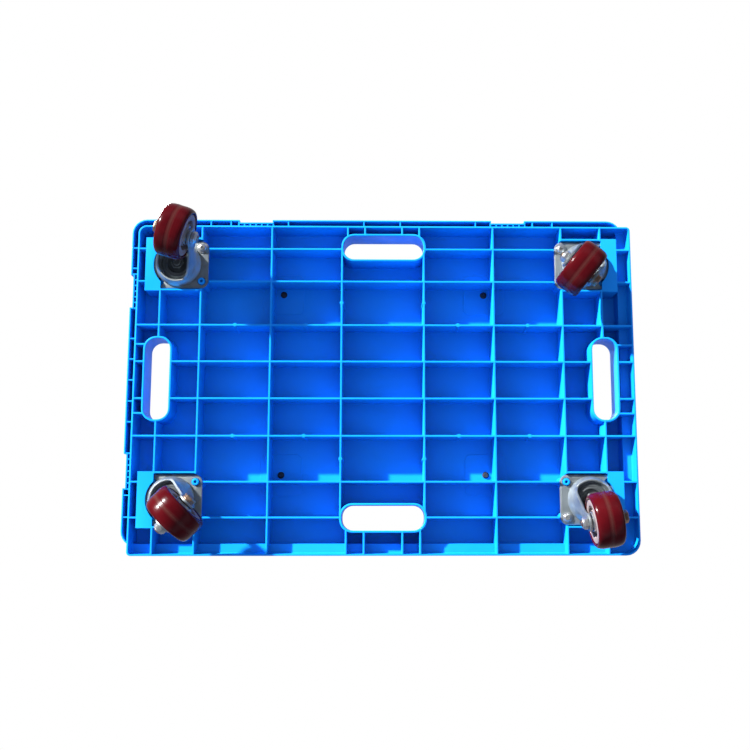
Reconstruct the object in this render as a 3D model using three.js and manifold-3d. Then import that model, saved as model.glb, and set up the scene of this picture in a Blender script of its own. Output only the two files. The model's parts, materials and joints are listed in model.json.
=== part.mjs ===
// Platform dolly: a ribbed plastic deck on four swivel casters, in millimetres, +Z up.
// +X runs along the long side, -Y is the front, and the wheels stand on z = 0.
import * as THREE from 'three';
import { mergeVertices } from 'three/addons/utils/BufferGeometryUtils.js';
import Module from 'manifold-3d';

const wasm = await Module();
wasm.setup();

// Driving dimensions of the deck
const DECK_LENGTH = 600;
const DECK_WIDTH = 400;
const DECK_TOP = 124;
const DECK_SKIN = 3.5;
const RIB_LEVEL = 86;
const WALL = 3;
const RIB = 2.4;
const CORNER_LARGE = 17.5;
const CORNER_SMALL = 5;
const GRID_Y = -4.5;

// A lip hangs outside the front and left walls, and a ledge runs along the rear and right ones
const LIP_WIDTH = 7.5;
const LIP_BOTTOM = 88;
const LIP_WALL = 2;
const LEDGE_WIDTH = 11;
const LEDGE_TOP = 106;
const LEDGE_BOTTOM = 103;
const LIP_RECESS_LENGTH = 40;
const LIP_RECESS_DEPTH = 3.3;
const LIP_TEETH = 5;
const LIP_TOOTH = 1.8;
const LIP_RECESS_X = 152;
const LIP_RECESS_Y = 107;
const LIP_RIBS_X = [22, 113, 182, 206];
const LIP_RIBS_Y = [0, 25, 49.5, 135, 160];

// Rib grid, measured from the grid's centre
const RIBS_ALONG_Y = [-264, -215.7, -132, 133.5, 215.7, 263];
const RIBS_BETWEEN_HANDLES = [-47.8, 50.2];
const RIBS_ALONG_X = [-158.8, -118.9, -65.8, 66.1, 119.5, 160.6];
const RIBS_BETWEEN_SIDE_HANDLES = [-21.9, 22];
const HOUSING_RIB_X = 215.7;

// Hand holes
const HANDLE_LENGTH = 99;
const HANDLE_WIDTH = 31.5;
const HANDLE_RADIUS = 14;
const HANDLE_WALL = 2.5;
const HANDLE_X = 264.5;
const HANDLE_Y = 161;
const HANDLE_MIDDLE_X = 2;
const HANDLE_MIDDLE_Y = -1.5;
const HANDLE_TIES_X = [22.3, 43];
const HANDLE_TIE_Y = 41;

// Anti-slip pads let into the deck
const PAD_MIDDLE_X = 2.2;
const PAD_X = 122.3;
const PAD_Y = 110.2;
const PAD_SIZE = 45;
const PAD_RADIUS = 5;
const PAD_SEAT = 1.5;
const PAD_PROUD = 1;
const PAD_PEG_RADIUS = 3;
const PAD_PEG_DROP = 3;
const GAP = 0.3;

// Caster plate and its housing in the deck
const CASTER_X = 243.5;
const CASTER_Y = 140;
const PLATE_LENGTH = 71;
const PLATE_WIDTH = 58;
const PLATE_BOTTOM = 89.5;
const PLATE_TOP = 92;
const PLATE_RADIUS = 9;
const PLATE_HOLE_X = 27.8;
const PLATE_HOLE_Y = 20.5;
const PLATE_HOLE_RADIUS = 4.6;
const PLATE_SLOT_SHIFT = 6;
const HOUSING_HALF_WIDTH = 31.5;
const HOUSING_END = 39;
const TAB_START = 20.5;
const TAB_TOP = 89.2;
const TAB_CUTOUT_RADIUS = 29.5;
const BOSS_RADIUS = 6.5;
const PEG_RADIUS = 4.2;
const PEG_HOLE_RADIUS = 1.6;
const PEG_BOTTOM = 87;
const SCREW_HOLE_RADIUS = 2.7;
const SCREW_HOLE_TOP = 110;

// Caster fork and wheel
const WHEEL_RADIUS = 31.25;
const WHEEL_HALF_WIDTH = 15.5;
const TREAD_BORE = 24.8;
const CORE_RIM = 24.5;
const WEB_FACE = 9.6;
const HUB_FACE = 8.2;
const TRAIL = 24;
const FORK_HALF_GAP = 17;
const FORK_THICKNESS = 2.5;
const CROWN_RADIUS = 27;
const CROWN_FLOOR = 83.2;
const CROWN_TOP = 85;
const CROWN_RIM_TOP = 88.7;
const CUP_RIM = 77.6;
const CUP_RADIUS = 23.4;
const LEG_BEND = 56;
const LEG_HALF_LENGTH = 18;
const LEG_BAR_START = -30;
const LEG_BAR_LENGTH = 80;
const LEG_ABOVE_FLOOR = 16.25;
const AXLE_RADIUS = 3.9;
const BEARING_RADIUS = 11;
const BEARING_INNER_FACE = 8.5;
const BEARING_OUTER_FACE = 15.2;
const NUT_FLATS = 13;
const NUT_HEIGHT = 6.5;
const KINGPIN_RADIUS = 5;
const KINGPIN_BOTTOM = 75.6;
const KINGPIN_NUT_FLATS = 14;
const KINGPIN_NUT_BOTTOM = 77.6;
const KINGPIN_NUT_HEIGHT = 4.4;
const BALL_CIRCLE_RADIUS = 20.5;
const BALL_RADIUS = 2;
const BALL_COUNT = 8;
const BALL_LEVEL = 87.25;

// Where each caster points at rest, in degrees from +X towards +Y
const CASTERS = [
  { name: 'front_left', sx: -1, sy: -1, heading: -72 },
  { name: 'front_right', sx: 1, sy: -1, heading: 128.5 },
  { name: 'rear_left', sx: -1, sy: 1, heading: 44.5 },
  { name: 'rear_right', sx: 1, sy: 1, heading: 81 },
];

// Outlines of the deck: the lower body stands on the ledge side, the upper one carries the lip
const LOWER = {
  x0: -DECK_LENGTH / 2 + LIP_WIDTH,
  x1: DECK_LENGTH / 2,
  y0: -DECK_WIDTH / 2 + LIP_WIDTH,
  y1: DECK_WIDTH / 2,
  radii: [CORNER_LARGE - LIP_WIDTH, CORNER_SMALL, CORNER_LARGE, CORNER_SMALL],
};
const UPPER = {
  x0: -DECK_LENGTH / 2,
  x1: DECK_LENGTH / 2 - LEDGE_WIDTH,
  y0: -DECK_WIDTH / 2,
  y1: DECK_WIDTH / 2 - LEDGE_WIDTH,
  radii: [CORNER_LARGE, CORNER_LARGE, CORNER_SMALL, CORNER_LARGE],
};
const FLOOR = DECK_TOP - DECK_SKIN;

const steel = new THREE.MeshStandardMaterial({ color: 0xa6b0ba, roughness: 0.35, metalness: 1 });
const brightSteel = new THREE.MeshStandardMaterial({ color: 0xd0d4d8, roughness: 0.2, metalness: 1 });
const bluePlastic = new THREE.MeshStandardMaterial({ color: 0x0a6fe0, roughness: 0.45, metalness: 0 });
const maroonTread = new THREE.MeshStandardMaterial({ color: 0x6b1820, roughness: 0.25, metalness: 0 });
const paleCore = new THREE.MeshStandardMaterial({ color: 0xc9bcb8, roughness: 0.5, metalness: 0 });
const blackRubber = new THREE.MeshStandardMaterial({ color: 0x1b1b1d, roughness: 0.85, metalness: 0 });

// ---- solids -------------------------------------------------------------------------------

function solid(geometry) {
  const bare = geometry.clone();
  bare.deleteAttribute('normal');
  bare.deleteAttribute('uv');
  const merged = mergeVertices(bare, 1e-4);
  const position = merged.attributes.position;
  const index = merged.index.array;
  const triangles = [];
  for (let i = 0; i < index.length; i += 3) {
    const [a, b, c] = [index[i], index[i + 1], index[i + 2]];
    if (a !== b && b !== c && c !== a) triangles.push(a, b, c);
  }
  if (signedVolume(position, triangles) < 0) triangles.reverse();
  return new wasm.Manifold(new wasm.Mesh({
    numProp: 3,
    vertProperties: Float32Array.from(position.array),
    triVerts: Uint32Array.from(triangles),
  }));
}

function signedVolume(position, triangles) {
  const a = new THREE.Vector3();
  const b = new THREE.Vector3();
  const c = new THREE.Vector3();
  let volume = 0;
  for (let i = 0; i < triangles.length; i += 3) {
    a.fromBufferAttribute(position, triangles[i]);
    b.fromBufferAttribute(position, triangles[i + 1]);
    c.fromBufferAttribute(position, triangles[i + 2]);
    volume += a.dot(b.cross(c)) / 6;
  }
  return volume;
}

function unite(solids) {
  return solids.reduce((whole, next) => whole.add(next));
}

function meshOf(name, body, material) {
  const { vertProperties, triVerts } = body.getMesh();
  const geometry = new THREE.BufferGeometry();
  geometry.setAttribute('position', new THREE.BufferAttribute(Float32Array.from(vertProperties), 3));
  geometry.setIndex(new THREE.BufferAttribute(Uint32Array.from(triVerts), 1));
  geometry.computeVertexNormals();
  const mesh = new THREE.Mesh(geometry, material);
  mesh.name = name;
  return mesh;
}

function block(x0, x1, y0, y1, z0, z1) {
  const size = [Math.abs(x1 - x0), Math.abs(y1 - y0), Math.abs(z1 - z0)];
  const box = new THREE.BoxGeometry(...size);
  return solid(box.translate((x0 + x1) / 2, (y0 + y1) / 2, (z0 + z1) / 2));
}

function outlineShape({ x0, x1, y0, y1, radii }) {
  const [a, b, c, d] = radii;
  const shape = new THREE.Shape();
  shape.moveTo(x0 + a, y0);
  shape.absarc(x1 - b, y0 + b, b, -Math.PI / 2, 0, false);
  shape.absarc(x1 - c, y1 - c, c, 0, Math.PI / 2, false);
  shape.absarc(x0 + d, y1 - d, d, Math.PI / 2, Math.PI, false);
  shape.absarc(x0 + a, y0 + a, a, Math.PI, 1.5 * Math.PI, false);
  return shape;
}

function inset({ x0, x1, y0, y1, radii }, t) {
  return { x0: x0 + t, x1: x1 - t, y0: y0 + t, y1: y1 - t, radii: radii.map((r) => Math.max(r - t, 1)) };
}

function centredOutline(x, y, length, width, radius) {
  return {
    x0: x - length / 2,
    x1: x + length / 2,
    y0: y - width / 2,
    y1: y + width / 2,
    radii: [radius, radius, radius, radius],
  };
}

function slab(outline, z0, z1, curveSegments = 3) {
  const shape = outlineShape(outline);
  const options = { depth: z1 - z0, bevelEnabled: false, curveSegments };
  const slabGeometry = new THREE.ExtrudeGeometry(shape, options);
  return solid(slabGeometry.translate(0, 0, z0));
}

// A profile of [radius, height] points turned about Z
function turned(profile, segments = 12) {
  const points = profile.map(([radius, height]) => new THREE.Vector2(radius, height));
  return solid(new THREE.LatheGeometry(points, segments).rotateX(Math.PI / 2));
}

// A profile of [radius, offset] points turned about Y, the axle's direction
function turnedOnAxle(profile, segments = 12) {
  const points = profile.map(([radius, offset]) => new THREE.Vector2(radius, offset));
  return solid(new THREE.LatheGeometry(points, segments));
}

function post(x, y, radius, z0, z1, segments = 8) {
  const cylinder = new THREE.CylinderGeometry(radius, radius, z1 - z0, segments).rotateX(Math.PI / 2);
  return solid(cylinder.translate(x, y, (z0 + z1) / 2));
}

function hexagon(acrossFlats, height, boreRadius) {
  const shape = new THREE.Shape();
  const corner = acrossFlats / Math.sqrt(3);
  for (let i = 0; i < 6; i += 1) {
    const angle = (i * Math.PI) / 3;
    const point = [corner * Math.cos(angle), corner * Math.sin(angle)];
    if (i === 0) shape.moveTo(...point);
    else shape.lineTo(...point);
  }
  if (boreRadius > 0) {
    const bore = new THREE.Path();
    bore.absarc(0, 0, boreRadius, 0, 2 * Math.PI, true);
    shape.holes.push(bore);
  }
  return new THREE.ExtrudeGeometry(shape, { depth: height, bevelEnabled: false, curveSegments: 6 });
}

// ---- deck ---------------------------------------------------------------------------------

function casterCentre({ sx, sy }) {
  return { x: sx * CASTER_X, y: GRID_Y + sy * CASTER_Y };
}

function deckShell() {
  const overlap = 1;
  const core = { x0: LOWER.x0, x1: UPPER.x1, y0: LOWER.y0, y1: UPPER.y1, radii: [10, 5, 5, 5] };
  const outside = unite([
    slab(LOWER, RIB_LEVEL, LEDGE_TOP),
    slab(UPPER, LIP_BOTTOM, DECK_TOP),
    slab(core, RIB_LEVEL + overlap, DECK_TOP - overlap),
  ]);
  const insideLip = slab(inset(UPPER, LIP_WALL), LIP_BOTTOM - 2, FLOOR);
  const lipHollow = insideLip.subtract(slab(LOWER, RIB_LEVEL - 8, DECK_TOP + 2));
  return outside
    .subtract(slab(insideCore(), RIB_LEVEL - 6, FLOOR))
    .subtract(slab(inset(LOWER, WALL), RIB_LEVEL - 6, LEDGE_BOTTOM))
    .subtract(lipHollow);
}

function insideCore() {
  const lower = inset(LOWER, WALL);
  return { x0: lower.x0, x1: UPPER.x1 - WALL, y0: lower.y0, y1: UPPER.y1 - WALL, radii: [7, 3, 3, 3] };
}

function lipRibs() {
  const frontOuter = UPPER.y0 + LIP_WALL / 2;
  const leftOuter = UPPER.x0 + LIP_WALL / 2;
  const frontInner = LOWER.y0 + 1;
  const leftInner = LOWER.x0 + 1;
  const ribs = [];
  const half = LIP_TOOTH / 2;
  const acrossFront = (x) => {
    ribs.push(block(x - half, x + half, frontOuter, frontInner, LIP_BOTTOM, FLOOR + 1));
  };
  const acrossLeft = (y) => ribs.push(block(leftOuter, leftInner, y - half, y + half, LIP_BOTTOM, FLOOR + 1));
  for (const side of [-1, 1]) {
    LIP_RIBS_X.forEach((x) => acrossFront(side * x));
    LIP_RIBS_Y.filter((y) => y > 0 || side > 0).forEach((y) => acrossLeft(GRID_Y + side * y));
    for (let i = 0; i < LIP_TEETH; i += 1) {
      const along = (i / (LIP_TEETH - 1) - 0.5) * (LIP_RECESS_LENGTH + LIP_TOOTH);
      acrossFront(side * LIP_RECESS_X + along);
      acrossLeft(GRID_Y + side * LIP_RECESS_Y + along);
    }
  }
  return unite(ribs);
}

// Each recess steps the lip's outer face back and closes it with a wall of its own
function withLipRecesses(deck) {
  const half = LIP_RECESS_LENGTH / 2;
  const faceY = UPPER.y0 + LIP_RECESS_DEPTH;
  const faceX = UPPER.x0 + LIP_RECESS_DEPTH;
  const wall = 1.5;
  let cut = deck;
  for (const side of [-1, 1]) {
    const x = side * LIP_RECESS_X;
    const y = GRID_Y + side * LIP_RECESS_Y;
    cut = cut
      .subtract(block(x - half, x + half, UPPER.y0 - 1, faceY, LIP_BOTTOM - 1, DECK_TOP + 1))
      .add(block(x - half - 1, x + half + 1, faceY, faceY + wall, LIP_BOTTOM, DECK_TOP))
      .subtract(block(UPPER.x0 - 1, faceX, y - half, y + half, LIP_BOTTOM - 1, DECK_TOP + 1))
      .add(block(faceX, faceX + wall, y - half - 1, y + half + 1, LIP_BOTTOM, DECK_TOP));
  }
  return cut;
}

function handles() {
  return [
    centredOutline(HANDLE_MIDDLE_X, GRID_Y - HANDLE_Y, HANDLE_LENGTH, HANDLE_WIDTH, HANDLE_RADIUS),
    centredOutline(HANDLE_MIDDLE_X, GRID_Y + HANDLE_Y, HANDLE_LENGTH, HANDLE_WIDTH, HANDLE_RADIUS),
    centredOutline(-HANDLE_X, GRID_Y + HANDLE_MIDDLE_Y, HANDLE_WIDTH, HANDLE_LENGTH, HANDLE_RADIUS),
    centredOutline(HANDLE_X, GRID_Y + HANDLE_MIDDLE_Y, HANDLE_WIDTH, HANDLE_LENGTH, HANDLE_RADIUS),
  ];
}

function ribAlongY(x, y0, y1, bottom = RIB_LEVEL) {
  return block(x - RIB / 2, x + RIB / 2, y0, y1, bottom, FLOOR + 1);
}

function ribAlongX(y, x0, x1, bottom = RIB_LEVEL) {
  return block(x0, x1, y - RIB / 2, y + RIB / 2, bottom, FLOOR + 1);
}

function ribGrid() {
  const ribs = [];
  const { x0, x1, y0, y1 } = LOWER;
  RIBS_ALONG_Y.forEach((x) => ribs.push(ribAlongY(x, y0, y1)));
  RIBS_ALONG_X.forEach((y) => ribs.push(ribAlongX(GRID_Y + y, x0, x1)));
  RIBS_BETWEEN_HANDLES.forEach((x) => ribs.push(ribAlongY(x, GRID_Y - HANDLE_Y, GRID_Y + HANDLE_Y)));
  RIBS_BETWEEN_SIDE_HANDLES.forEach((y) => ribs.push(ribAlongX(GRID_Y + y, x0, x1)));
  for (const side of [-1, 1]) {
    for (const tie of HANDLE_TIES_X) {
      const x = HANDLE_MIDDLE_X + side * tie;
      ribs.push(ribAlongY(x, y0, GRID_Y - HANDLE_Y));
      ribs.push(ribAlongY(x, GRID_Y + HANDLE_Y, y1));
    }
    ribs.push(ribAlongX(GRID_Y + HANDLE_MIDDLE_Y + side * HANDLE_TIE_Y, x0, -HANDLE_X));
    ribs.push(ribAlongX(GRID_Y + HANDLE_MIDDLE_Y + side * HANDLE_TIE_Y, HANDLE_X, x1));
  }
  const space = slab(inset(insideCore(), -1), RIB_LEVEL, FLOOR + 1)
    .add(slab(inset(LOWER, WALL - 1), RIB_LEVEL, LEDGE_BOTTOM + 1));
  return unite(ribs).intersect(space);
}

// The housing that holds one caster plate: walls, a tab over the plate's outer edge and bosses
function casterHousing(caster) {
  const { x, y } = casterCentre(caster);
  const { sx, sy } = caster;
  const inner = sx * HOUSING_RIB_X;
  const end = x + sx * HOUSING_END;
  const walls = unite([
    ...[-1, 1].map((side) => ribAlongX(y + side * HOUSING_HALF_WIDTH, inner, end)),
    block(end - sx * RIB, end, y - HOUSING_HALF_WIDTH, y + HOUSING_HALF_WIDTH, RIB_LEVEL, FLOOR + 1),
  ]);
  const seatBottom = PLATE_TOP + GAP;
  const seat = unite([
    ribAlongX(y, inner, end, seatBottom),
    ribAlongY(x, y - HOUSING_HALF_WIDTH, y + HOUSING_HALF_WIDTH, seatBottom),
    post(inner, y - PLATE_HOLE_Y, BOSS_RADIUS, seatBottom, FLOOR + 1),
    post(inner, y + PLATE_HOLE_Y, BOSS_RADIUS, seatBottom, FLOOR + 1),
  ]);
  const tabStart = x + sx * TAB_START;
  const tabWidth = HOUSING_HALF_WIDTH + RIB / 2;
  const tab = block(tabStart, end, y - tabWidth, y + tabWidth, RIB_LEVEL, TAB_TOP)
    .subtract(post(x, y, TAB_CUTOUT_RADIUS, RIB_LEVEL - 2, TAB_TOP + 2, 20));
  const pegY = y - sy * PLATE_HOLE_Y;
  const peg = post(x - sx * PLATE_HOLE_X, pegY, PEG_RADIUS, PEG_BOTTOM, seatBottom + 1);
  return unite([walls, seat, tab, peg]);
}

function plateRecess(caster) {
  const { x, y } = casterCentre(caster);
  const { sx } = caster;
  const halfWidth = PLATE_WIDTH / 2 + GAP;
  const inner = x - sx * (PLATE_LENGTH / 2 + 1.5);
  const end = x + sx * (PLATE_LENGTH / 2 + 0.4);
  return block(inner, end, y - halfWidth, y + halfWidth, RIB_LEVEL - 2, PLATE_TOP + GAP);
}

function housingBores(caster) {
  const { x, y } = casterCentre(caster);
  const { sx, sy } = caster;
  const holeX = x - sx * PLATE_HOLE_X;
  return post(holeX, y + sy * PLATE_HOLE_Y, SCREW_HOLE_RADIUS, PLATE_TOP - 1, SCREW_HOLE_TOP)
    .add(post(holeX, y - sy * PLATE_HOLE_Y, PEG_HOLE_RADIUS, PEG_BOTTOM - 1, PEG_BOTTOM + 14));
}

function padCentres() {
  const centres = [];
  for (const [side, sx] of [['left', -1], ['right', 1]]) {
    for (const [end, sy] of [['front', -1], ['rear', 1]]) {
      const x = PAD_MIDDLE_X + sx * PAD_X;
      centres.push({ name: `${end}_${side}_grip_pad`, x, y: GRID_Y + sy * PAD_Y });
    }
  }
  return centres;
}

function padSeat({ x, y }) {
  const seat = centredOutline(x, y, PAD_SIZE + 2 * GAP, PAD_SIZE + 2 * GAP, PAD_RADIUS + GAP);
  return slab(seat, DECK_TOP - PAD_SEAT, DECK_TOP + 2, 2)
    .add(post(x, y, PAD_PEG_RADIUS + GAP, FLOOR - 1, DECK_TOP));
}

function deck() {
  let body = deckShell().add(ribGrid());
  body = withLipRecesses(body.add(lipRibs()));
  for (const handle of handles()) {
    body = body.add(slab(inset(handle, -HANDLE_WALL / 2), RIB_LEVEL, DECK_TOP - 1));
  }
  for (const handle of handles()) {
    body = body.subtract(slab(inset(handle, HANDLE_WALL / 2), RIB_LEVEL - 2, DECK_TOP + 2));
  }
  for (const caster of CASTERS) {
    body = body.subtract(plateRecess(caster)).add(casterHousing(caster)).subtract(housingBores(caster));
  }
  for (const pad of padCentres()) body = body.subtract(padSeat(pad));
  return meshOf('deck', body, bluePlastic);
}

function gripPad(pad) {
  const outline = centredOutline(pad.x, pad.y, PAD_SIZE, PAD_SIZE, PAD_RADIUS);
  const sheet = slab(outline, DECK_TOP - PAD_SEAT + GAP, DECK_TOP + PAD_PROUD, 2);
  const collarTop = FLOOR - GAP;
  const pegBottom = FLOOR - PAD_PEG_DROP;
  const peg = turned([
    [0, pegBottom],
    [PAD_PEG_RADIUS, pegBottom],
    [PAD_PEG_RADIUS + 1.2, collarTop],
    [PAD_PEG_RADIUS, collarTop],
    [PAD_PEG_RADIUS, DECK_TOP],
    [0, DECK_TOP],
  ], 8).translate([pad.x, pad.y, 0]);
  return meshOf(pad.name, sheet.add(peg), blackRubber);
}

// ---- parts of one caster that stay with the deck ------------------------------------------

function casterPlate(caster) {
  const { sx } = caster;
  const outline = centredOutline(0, 0, PLATE_LENGTH, PLATE_WIDTH, PLATE_RADIUS);
  const sheet = slab(outline, PLATE_BOTTOM, PLATE_TOP, 2);
  const dishRadius = 17;
  const dish = turned([
    [KINGPIN_RADIUS + 0.4, 86.3],
    [14.5, 86.3],
    [dishRadius + 0.5, PLATE_BOTTOM],
    [dishRadius + 1.5, PLATE_BOTTOM],
    [dishRadius + 1.5, PLATE_TOP],
    [dishRadius - 0.2, PLATE_TOP],
    [13.6, 88.8],
    [KINGPIN_RADIUS + 0.4, 88.8],
    [KINGPIN_RADIUS + 0.4, 86.3],
  ], 16);
  let plate = sheet.subtract(post(0, 0, dishRadius, PLATE_BOTTOM - 1, PLATE_TOP + 1, 16)).add(dish);
  for (const side of [-1, 1]) {
    const y = side * PLATE_HOLE_Y;
    plate = plate.subtract(post(-sx * PLATE_HOLE_X, y, PLATE_HOLE_RADIUS, PLATE_BOTTOM - 1, PLATE_TOP + 1));
    const slotX = sx * (PLATE_HOLE_X - PLATE_SLOT_SHIFT / 2);
    const slotLength = 2 * PLATE_HOLE_RADIUS + PLATE_SLOT_SHIFT;
    const slot = centredOutline(slotX, y, slotLength, 2 * PLATE_HOLE_RADIUS, PLATE_HOLE_RADIUS - 0.01);
    plate = plate.subtract(slab(slot, PLATE_BOTTOM - 1, PLATE_TOP + 1, 2));
  }
  return meshOf(`${caster.name}_caster_plate`, plate, steel);
}

function kingpin(caster) {
  const body = turned([
    [0, KINGPIN_BOTTOM],
    [KINGPIN_RADIUS - 1, KINGPIN_BOTTOM],
    [KINGPIN_RADIUS, KINGPIN_BOTTOM + 1],
    [KINGPIN_RADIUS, 89.1],
    [9, 89.1],
    [9, 91],
    [7.5, 91.6],
    [0, 91.6],
  ], 12);
  return meshOf(`${caster.name}_kingpin`, body, steel);
}

function kingpinNut(caster) {
  const nut = hexagon(KINGPIN_NUT_FLATS, KINGPIN_NUT_HEIGHT, KINGPIN_RADIUS + GAP);
  return meshOf(`${caster.name}_kingpin_nut`, solid(nut.translate(0, 0, KINGPIN_NUT_BOTTOM)), steel);
}

function mountingScrew(caster) {
  const body = turned([
    [0, 85.6],
    [3.2, 85.8],
    [4.6, 87],
    [4.6, 88],
    [6.2, 88],
    [6.2, PLATE_BOTTOM - GAP],
    [2.3, PLATE_BOTTOM - GAP],
    [2.3, SCREW_HOLE_TOP - 3],
    [0, SCREW_HOLE_TOP - 1],
  ], 10).translate([-caster.sx * PLATE_HOLE_X, caster.sy * PLATE_HOLE_Y, 0]);
  return meshOf(`${caster.name}_mounting_screw`, body, brightSteel);
}

// ---- parts that swivel, pointing along +X with the axle along Y ---------------------------

// One leg: flat beside the wheel, then sloping out to the round rim of the crown
function forkLeg(side) {
  const eye = 10;
  const top = CUP_RIM + 3;
  const outline = new THREE.Shape();
  outline.moveTo(-LEG_HALF_LENGTH, top);
  outline.lineTo(-LEG_HALF_LENGTH, CUP_RIM - 4);
  outline.quadraticCurveTo(-12, 62, TRAIL - eye, WHEEL_RADIUS + 2);
  outline.absarc(TRAIL, WHEEL_RADIUS, eye, Math.PI, 2 * Math.PI, false);
  outline.quadraticCurveTo(TRAIL + eye, 58, LEG_HALF_LENGTH, CUP_RIM - 4);
  outline.lineTo(LEG_HALF_LENGTH, top);
  const reach = CROWN_RADIUS + 3;
  const sheet = new THREE.ExtrudeGeometry(outline, { depth: reach, bevelEnabled: false, curveSegments: 3 });
  const farSide = side > 0 ? reach : 0;
  return solid(sheet.rotateX(Math.PI / 2).translate(0, farSide, 0))
    .intersect(legSection(side))
    .intersect(legEnvelope(top));
}

// The bent section that the leg is pressed to, running along X
function legSection(side) {
  const inside = [
    [FORK_HALF_GAP, LEG_ABOVE_FLOOR],
    [FORK_HALF_GAP, LEG_BEND],
    [CUP_RADIUS - FORK_THICKNESS, CUP_RIM + 4],
  ];
  const outside = inside.map(([y, z]) => [y + FORK_THICKNESS, z]).reverse();
  const section = new THREE.Shape([...inside, ...outside].map(([y, z]) => new THREE.Vector2(side * y, z)));
  const bar = new THREE.ExtrudeGeometry(section, { depth: LEG_BAR_LENGTH, bevelEnabled: false });
  return solid(bar.rotateX(Math.PI / 2).rotateZ(Math.PI / 2).translate(LEG_BAR_START, 0, 0));
}

// Rounds the top of the leg to the crown, and leaves the rest of it alone
function legEnvelope(top) {
  const wide = TRAIL + WHEEL_RADIUS + FORK_HALF_GAP;
  const narrow = CUP_RADIUS + 0.6;
  const low = LEG_ABOVE_FLOOR - 5;
  return turned([[0, low], [wide, low], [wide, LEG_BEND], [narrow, CUP_RIM], [narrow, top], [0, top]], 20);
}

function fork(caster) {
  const bore = KINGPIN_RADIUS + 1;
  const crown = turned([
    [bore, CROWN_FLOOR],
    [CUP_RADIUS - 4.4, CROWN_FLOOR],
    [CUP_RADIUS - 2, CUP_RIM],
    [CUP_RADIUS, CUP_RIM],
    [CROWN_RADIUS, CROWN_TOP + 2],
    [CROWN_RADIUS, CROWN_RIM_TOP],
    [CROWN_RADIUS - 1.8, CROWN_RIM_TOP],
    [CROWN_RADIUS - 1.8, CROWN_TOP],
    [bore, CROWN_TOP],
    [bore, CROWN_FLOOR],
  ], 20);
  const axleHole = turnedOnAxle([[0, -30], [AXLE_RADIUS + GAP, -30], [AXLE_RADIUS + GAP, 30], [0, 30]], 12)
    .translate([TRAIL, 0, WHEEL_RADIUS]);
  const body = unite([crown, forkLeg(-1), forkLeg(1)]).subtract(axleHole);
  return meshOf(`${caster.name}_fork`, body, steel);
}

function swivelBalls(caster) {
  const cage = turned([
    [BALL_CIRCLE_RADIUS - 0.8, BALL_LEVEL - 0.5],
    [BALL_CIRCLE_RADIUS + 0.8, BALL_LEVEL - 0.5],
    [BALL_CIRCLE_RADIUS + 0.8, BALL_LEVEL + 0.5],
    [BALL_CIRCLE_RADIUS - 0.8, BALL_LEVEL + 0.5],
    [BALL_CIRCLE_RADIUS - 0.8, BALL_LEVEL - 0.5],
  ], 12);
  const balls = [];
  for (let i = 0; i < BALL_COUNT; i += 1) {
    const angle = (2 * Math.PI * i) / BALL_COUNT;
    const ball = new THREE.OctahedronGeometry(BALL_RADIUS, 0);
    const [x, y] = [BALL_CIRCLE_RADIUS * Math.cos(angle), BALL_CIRCLE_RADIUS * Math.sin(angle)];
    balls.push(solid(ball.translate(x, y, BALL_LEVEL)));
  }
  return meshOf(`${caster.name}_swivel_balls`, unite([cage, ...balls]), brightSteel);
}

function axleBolt(caster) {
  const legOutside = FORK_HALF_GAP + FORK_THICKNESS + GAP;
  const head = solid(hexagon(NUT_FLATS, 5.3, 0).rotateX(Math.PI / 2).translate(0, -legOutside, 0));
  const end = legOutside + NUT_HEIGHT + 1.2;
  const shank = turnedOnAxle([
    [0, -legOutside - 1],
    [AXLE_RADIUS, -legOutside - 1],
    [AXLE_RADIUS, end - 0.8],
    [AXLE_RADIUS - 0.8, end],
    [0, end],
  ], 12);
  return meshOf(`${caster.name}_axle_bolt`, head.add(shank), brightSteel);
}

function axleNut(caster) {
  const legOutside = FORK_HALF_GAP + FORK_THICKNESS + GAP;
  const nut = hexagon(NUT_FLATS, NUT_HEIGHT, AXLE_RADIUS + GAP).rotateX(Math.PI / 2);
  return meshOf(`${caster.name}_axle_nut`, solid(nut.translate(0, legOutside + NUT_HEIGHT, 0)), brightSteel);
}

function axleRing(name, inner, outer, y0, y1, segments, material) {
  const profile = [[inner, y0], [outer, y0], [outer, y1], [inner, y1], [inner, y0]];
  return meshOf(name, turnedOnAxle(profile, segments), material);
}

// ---- parts that roll ----------------------------------------------------------------------

function tread(caster) {
  const shoulder = [[WHEEL_RADIUS - 2.2, WHEEL_HALF_WIDTH], [WHEEL_RADIUS - 0.4, WHEEL_HALF_WIDTH - 2]];
  const half = [[TREAD_BORE, WHEEL_HALF_WIDTH - 0.6], ...shoulder, [WHEEL_RADIUS, 6]];
  const other = half.map(([radius, y]) => [radius, -y]);
  const loop = [...other, ...half.slice().reverse(), other[0]];
  return meshOf(`${caster.name}_tread`, turnedOnAxle(loop, 24), maroonTread);
}

function wheelCore(caster) {
  const seat = BEARING_RADIUS + GAP;
  const hubEnd = WHEEL_HALF_WIDTH - 1.5;
  const hub = [[8, HUB_FACE], [seat, HUB_FACE], [seat, hubEnd], [12.8, hubEnd]];
  const rim = [[18.4, WHEEL_HALF_WIDTH - 0.8], [CORE_RIM, WHEEL_HALF_WIDTH - 1]];
  const half = [...hub, [14, WEB_FACE], [17, WEB_FACE], ...rim];
  const other = half.map(([radius, y]) => [radius, -y]).reverse();
  return meshOf(`${caster.name}_wheel_core`, turnedOnAxle([...half, ...other, half[0]], 16), paleCore);
}

function wheelBearing(caster, side, name) {
  const [y0, y1] = [side * BEARING_INNER_FACE, side * BEARING_OUTER_FACE];
  const ring = [AXLE_RADIUS + GAP, BEARING_RADIUS];
  const faces = [Math.min(y0, y1), Math.max(y0, y1)];
  return axleRing(`${caster.name}_wheel_bearing_${name}`, ...ring, ...faces, 12, brightSteel);
}

// ---- assembly -----------------------------------------------------------------------------

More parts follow.
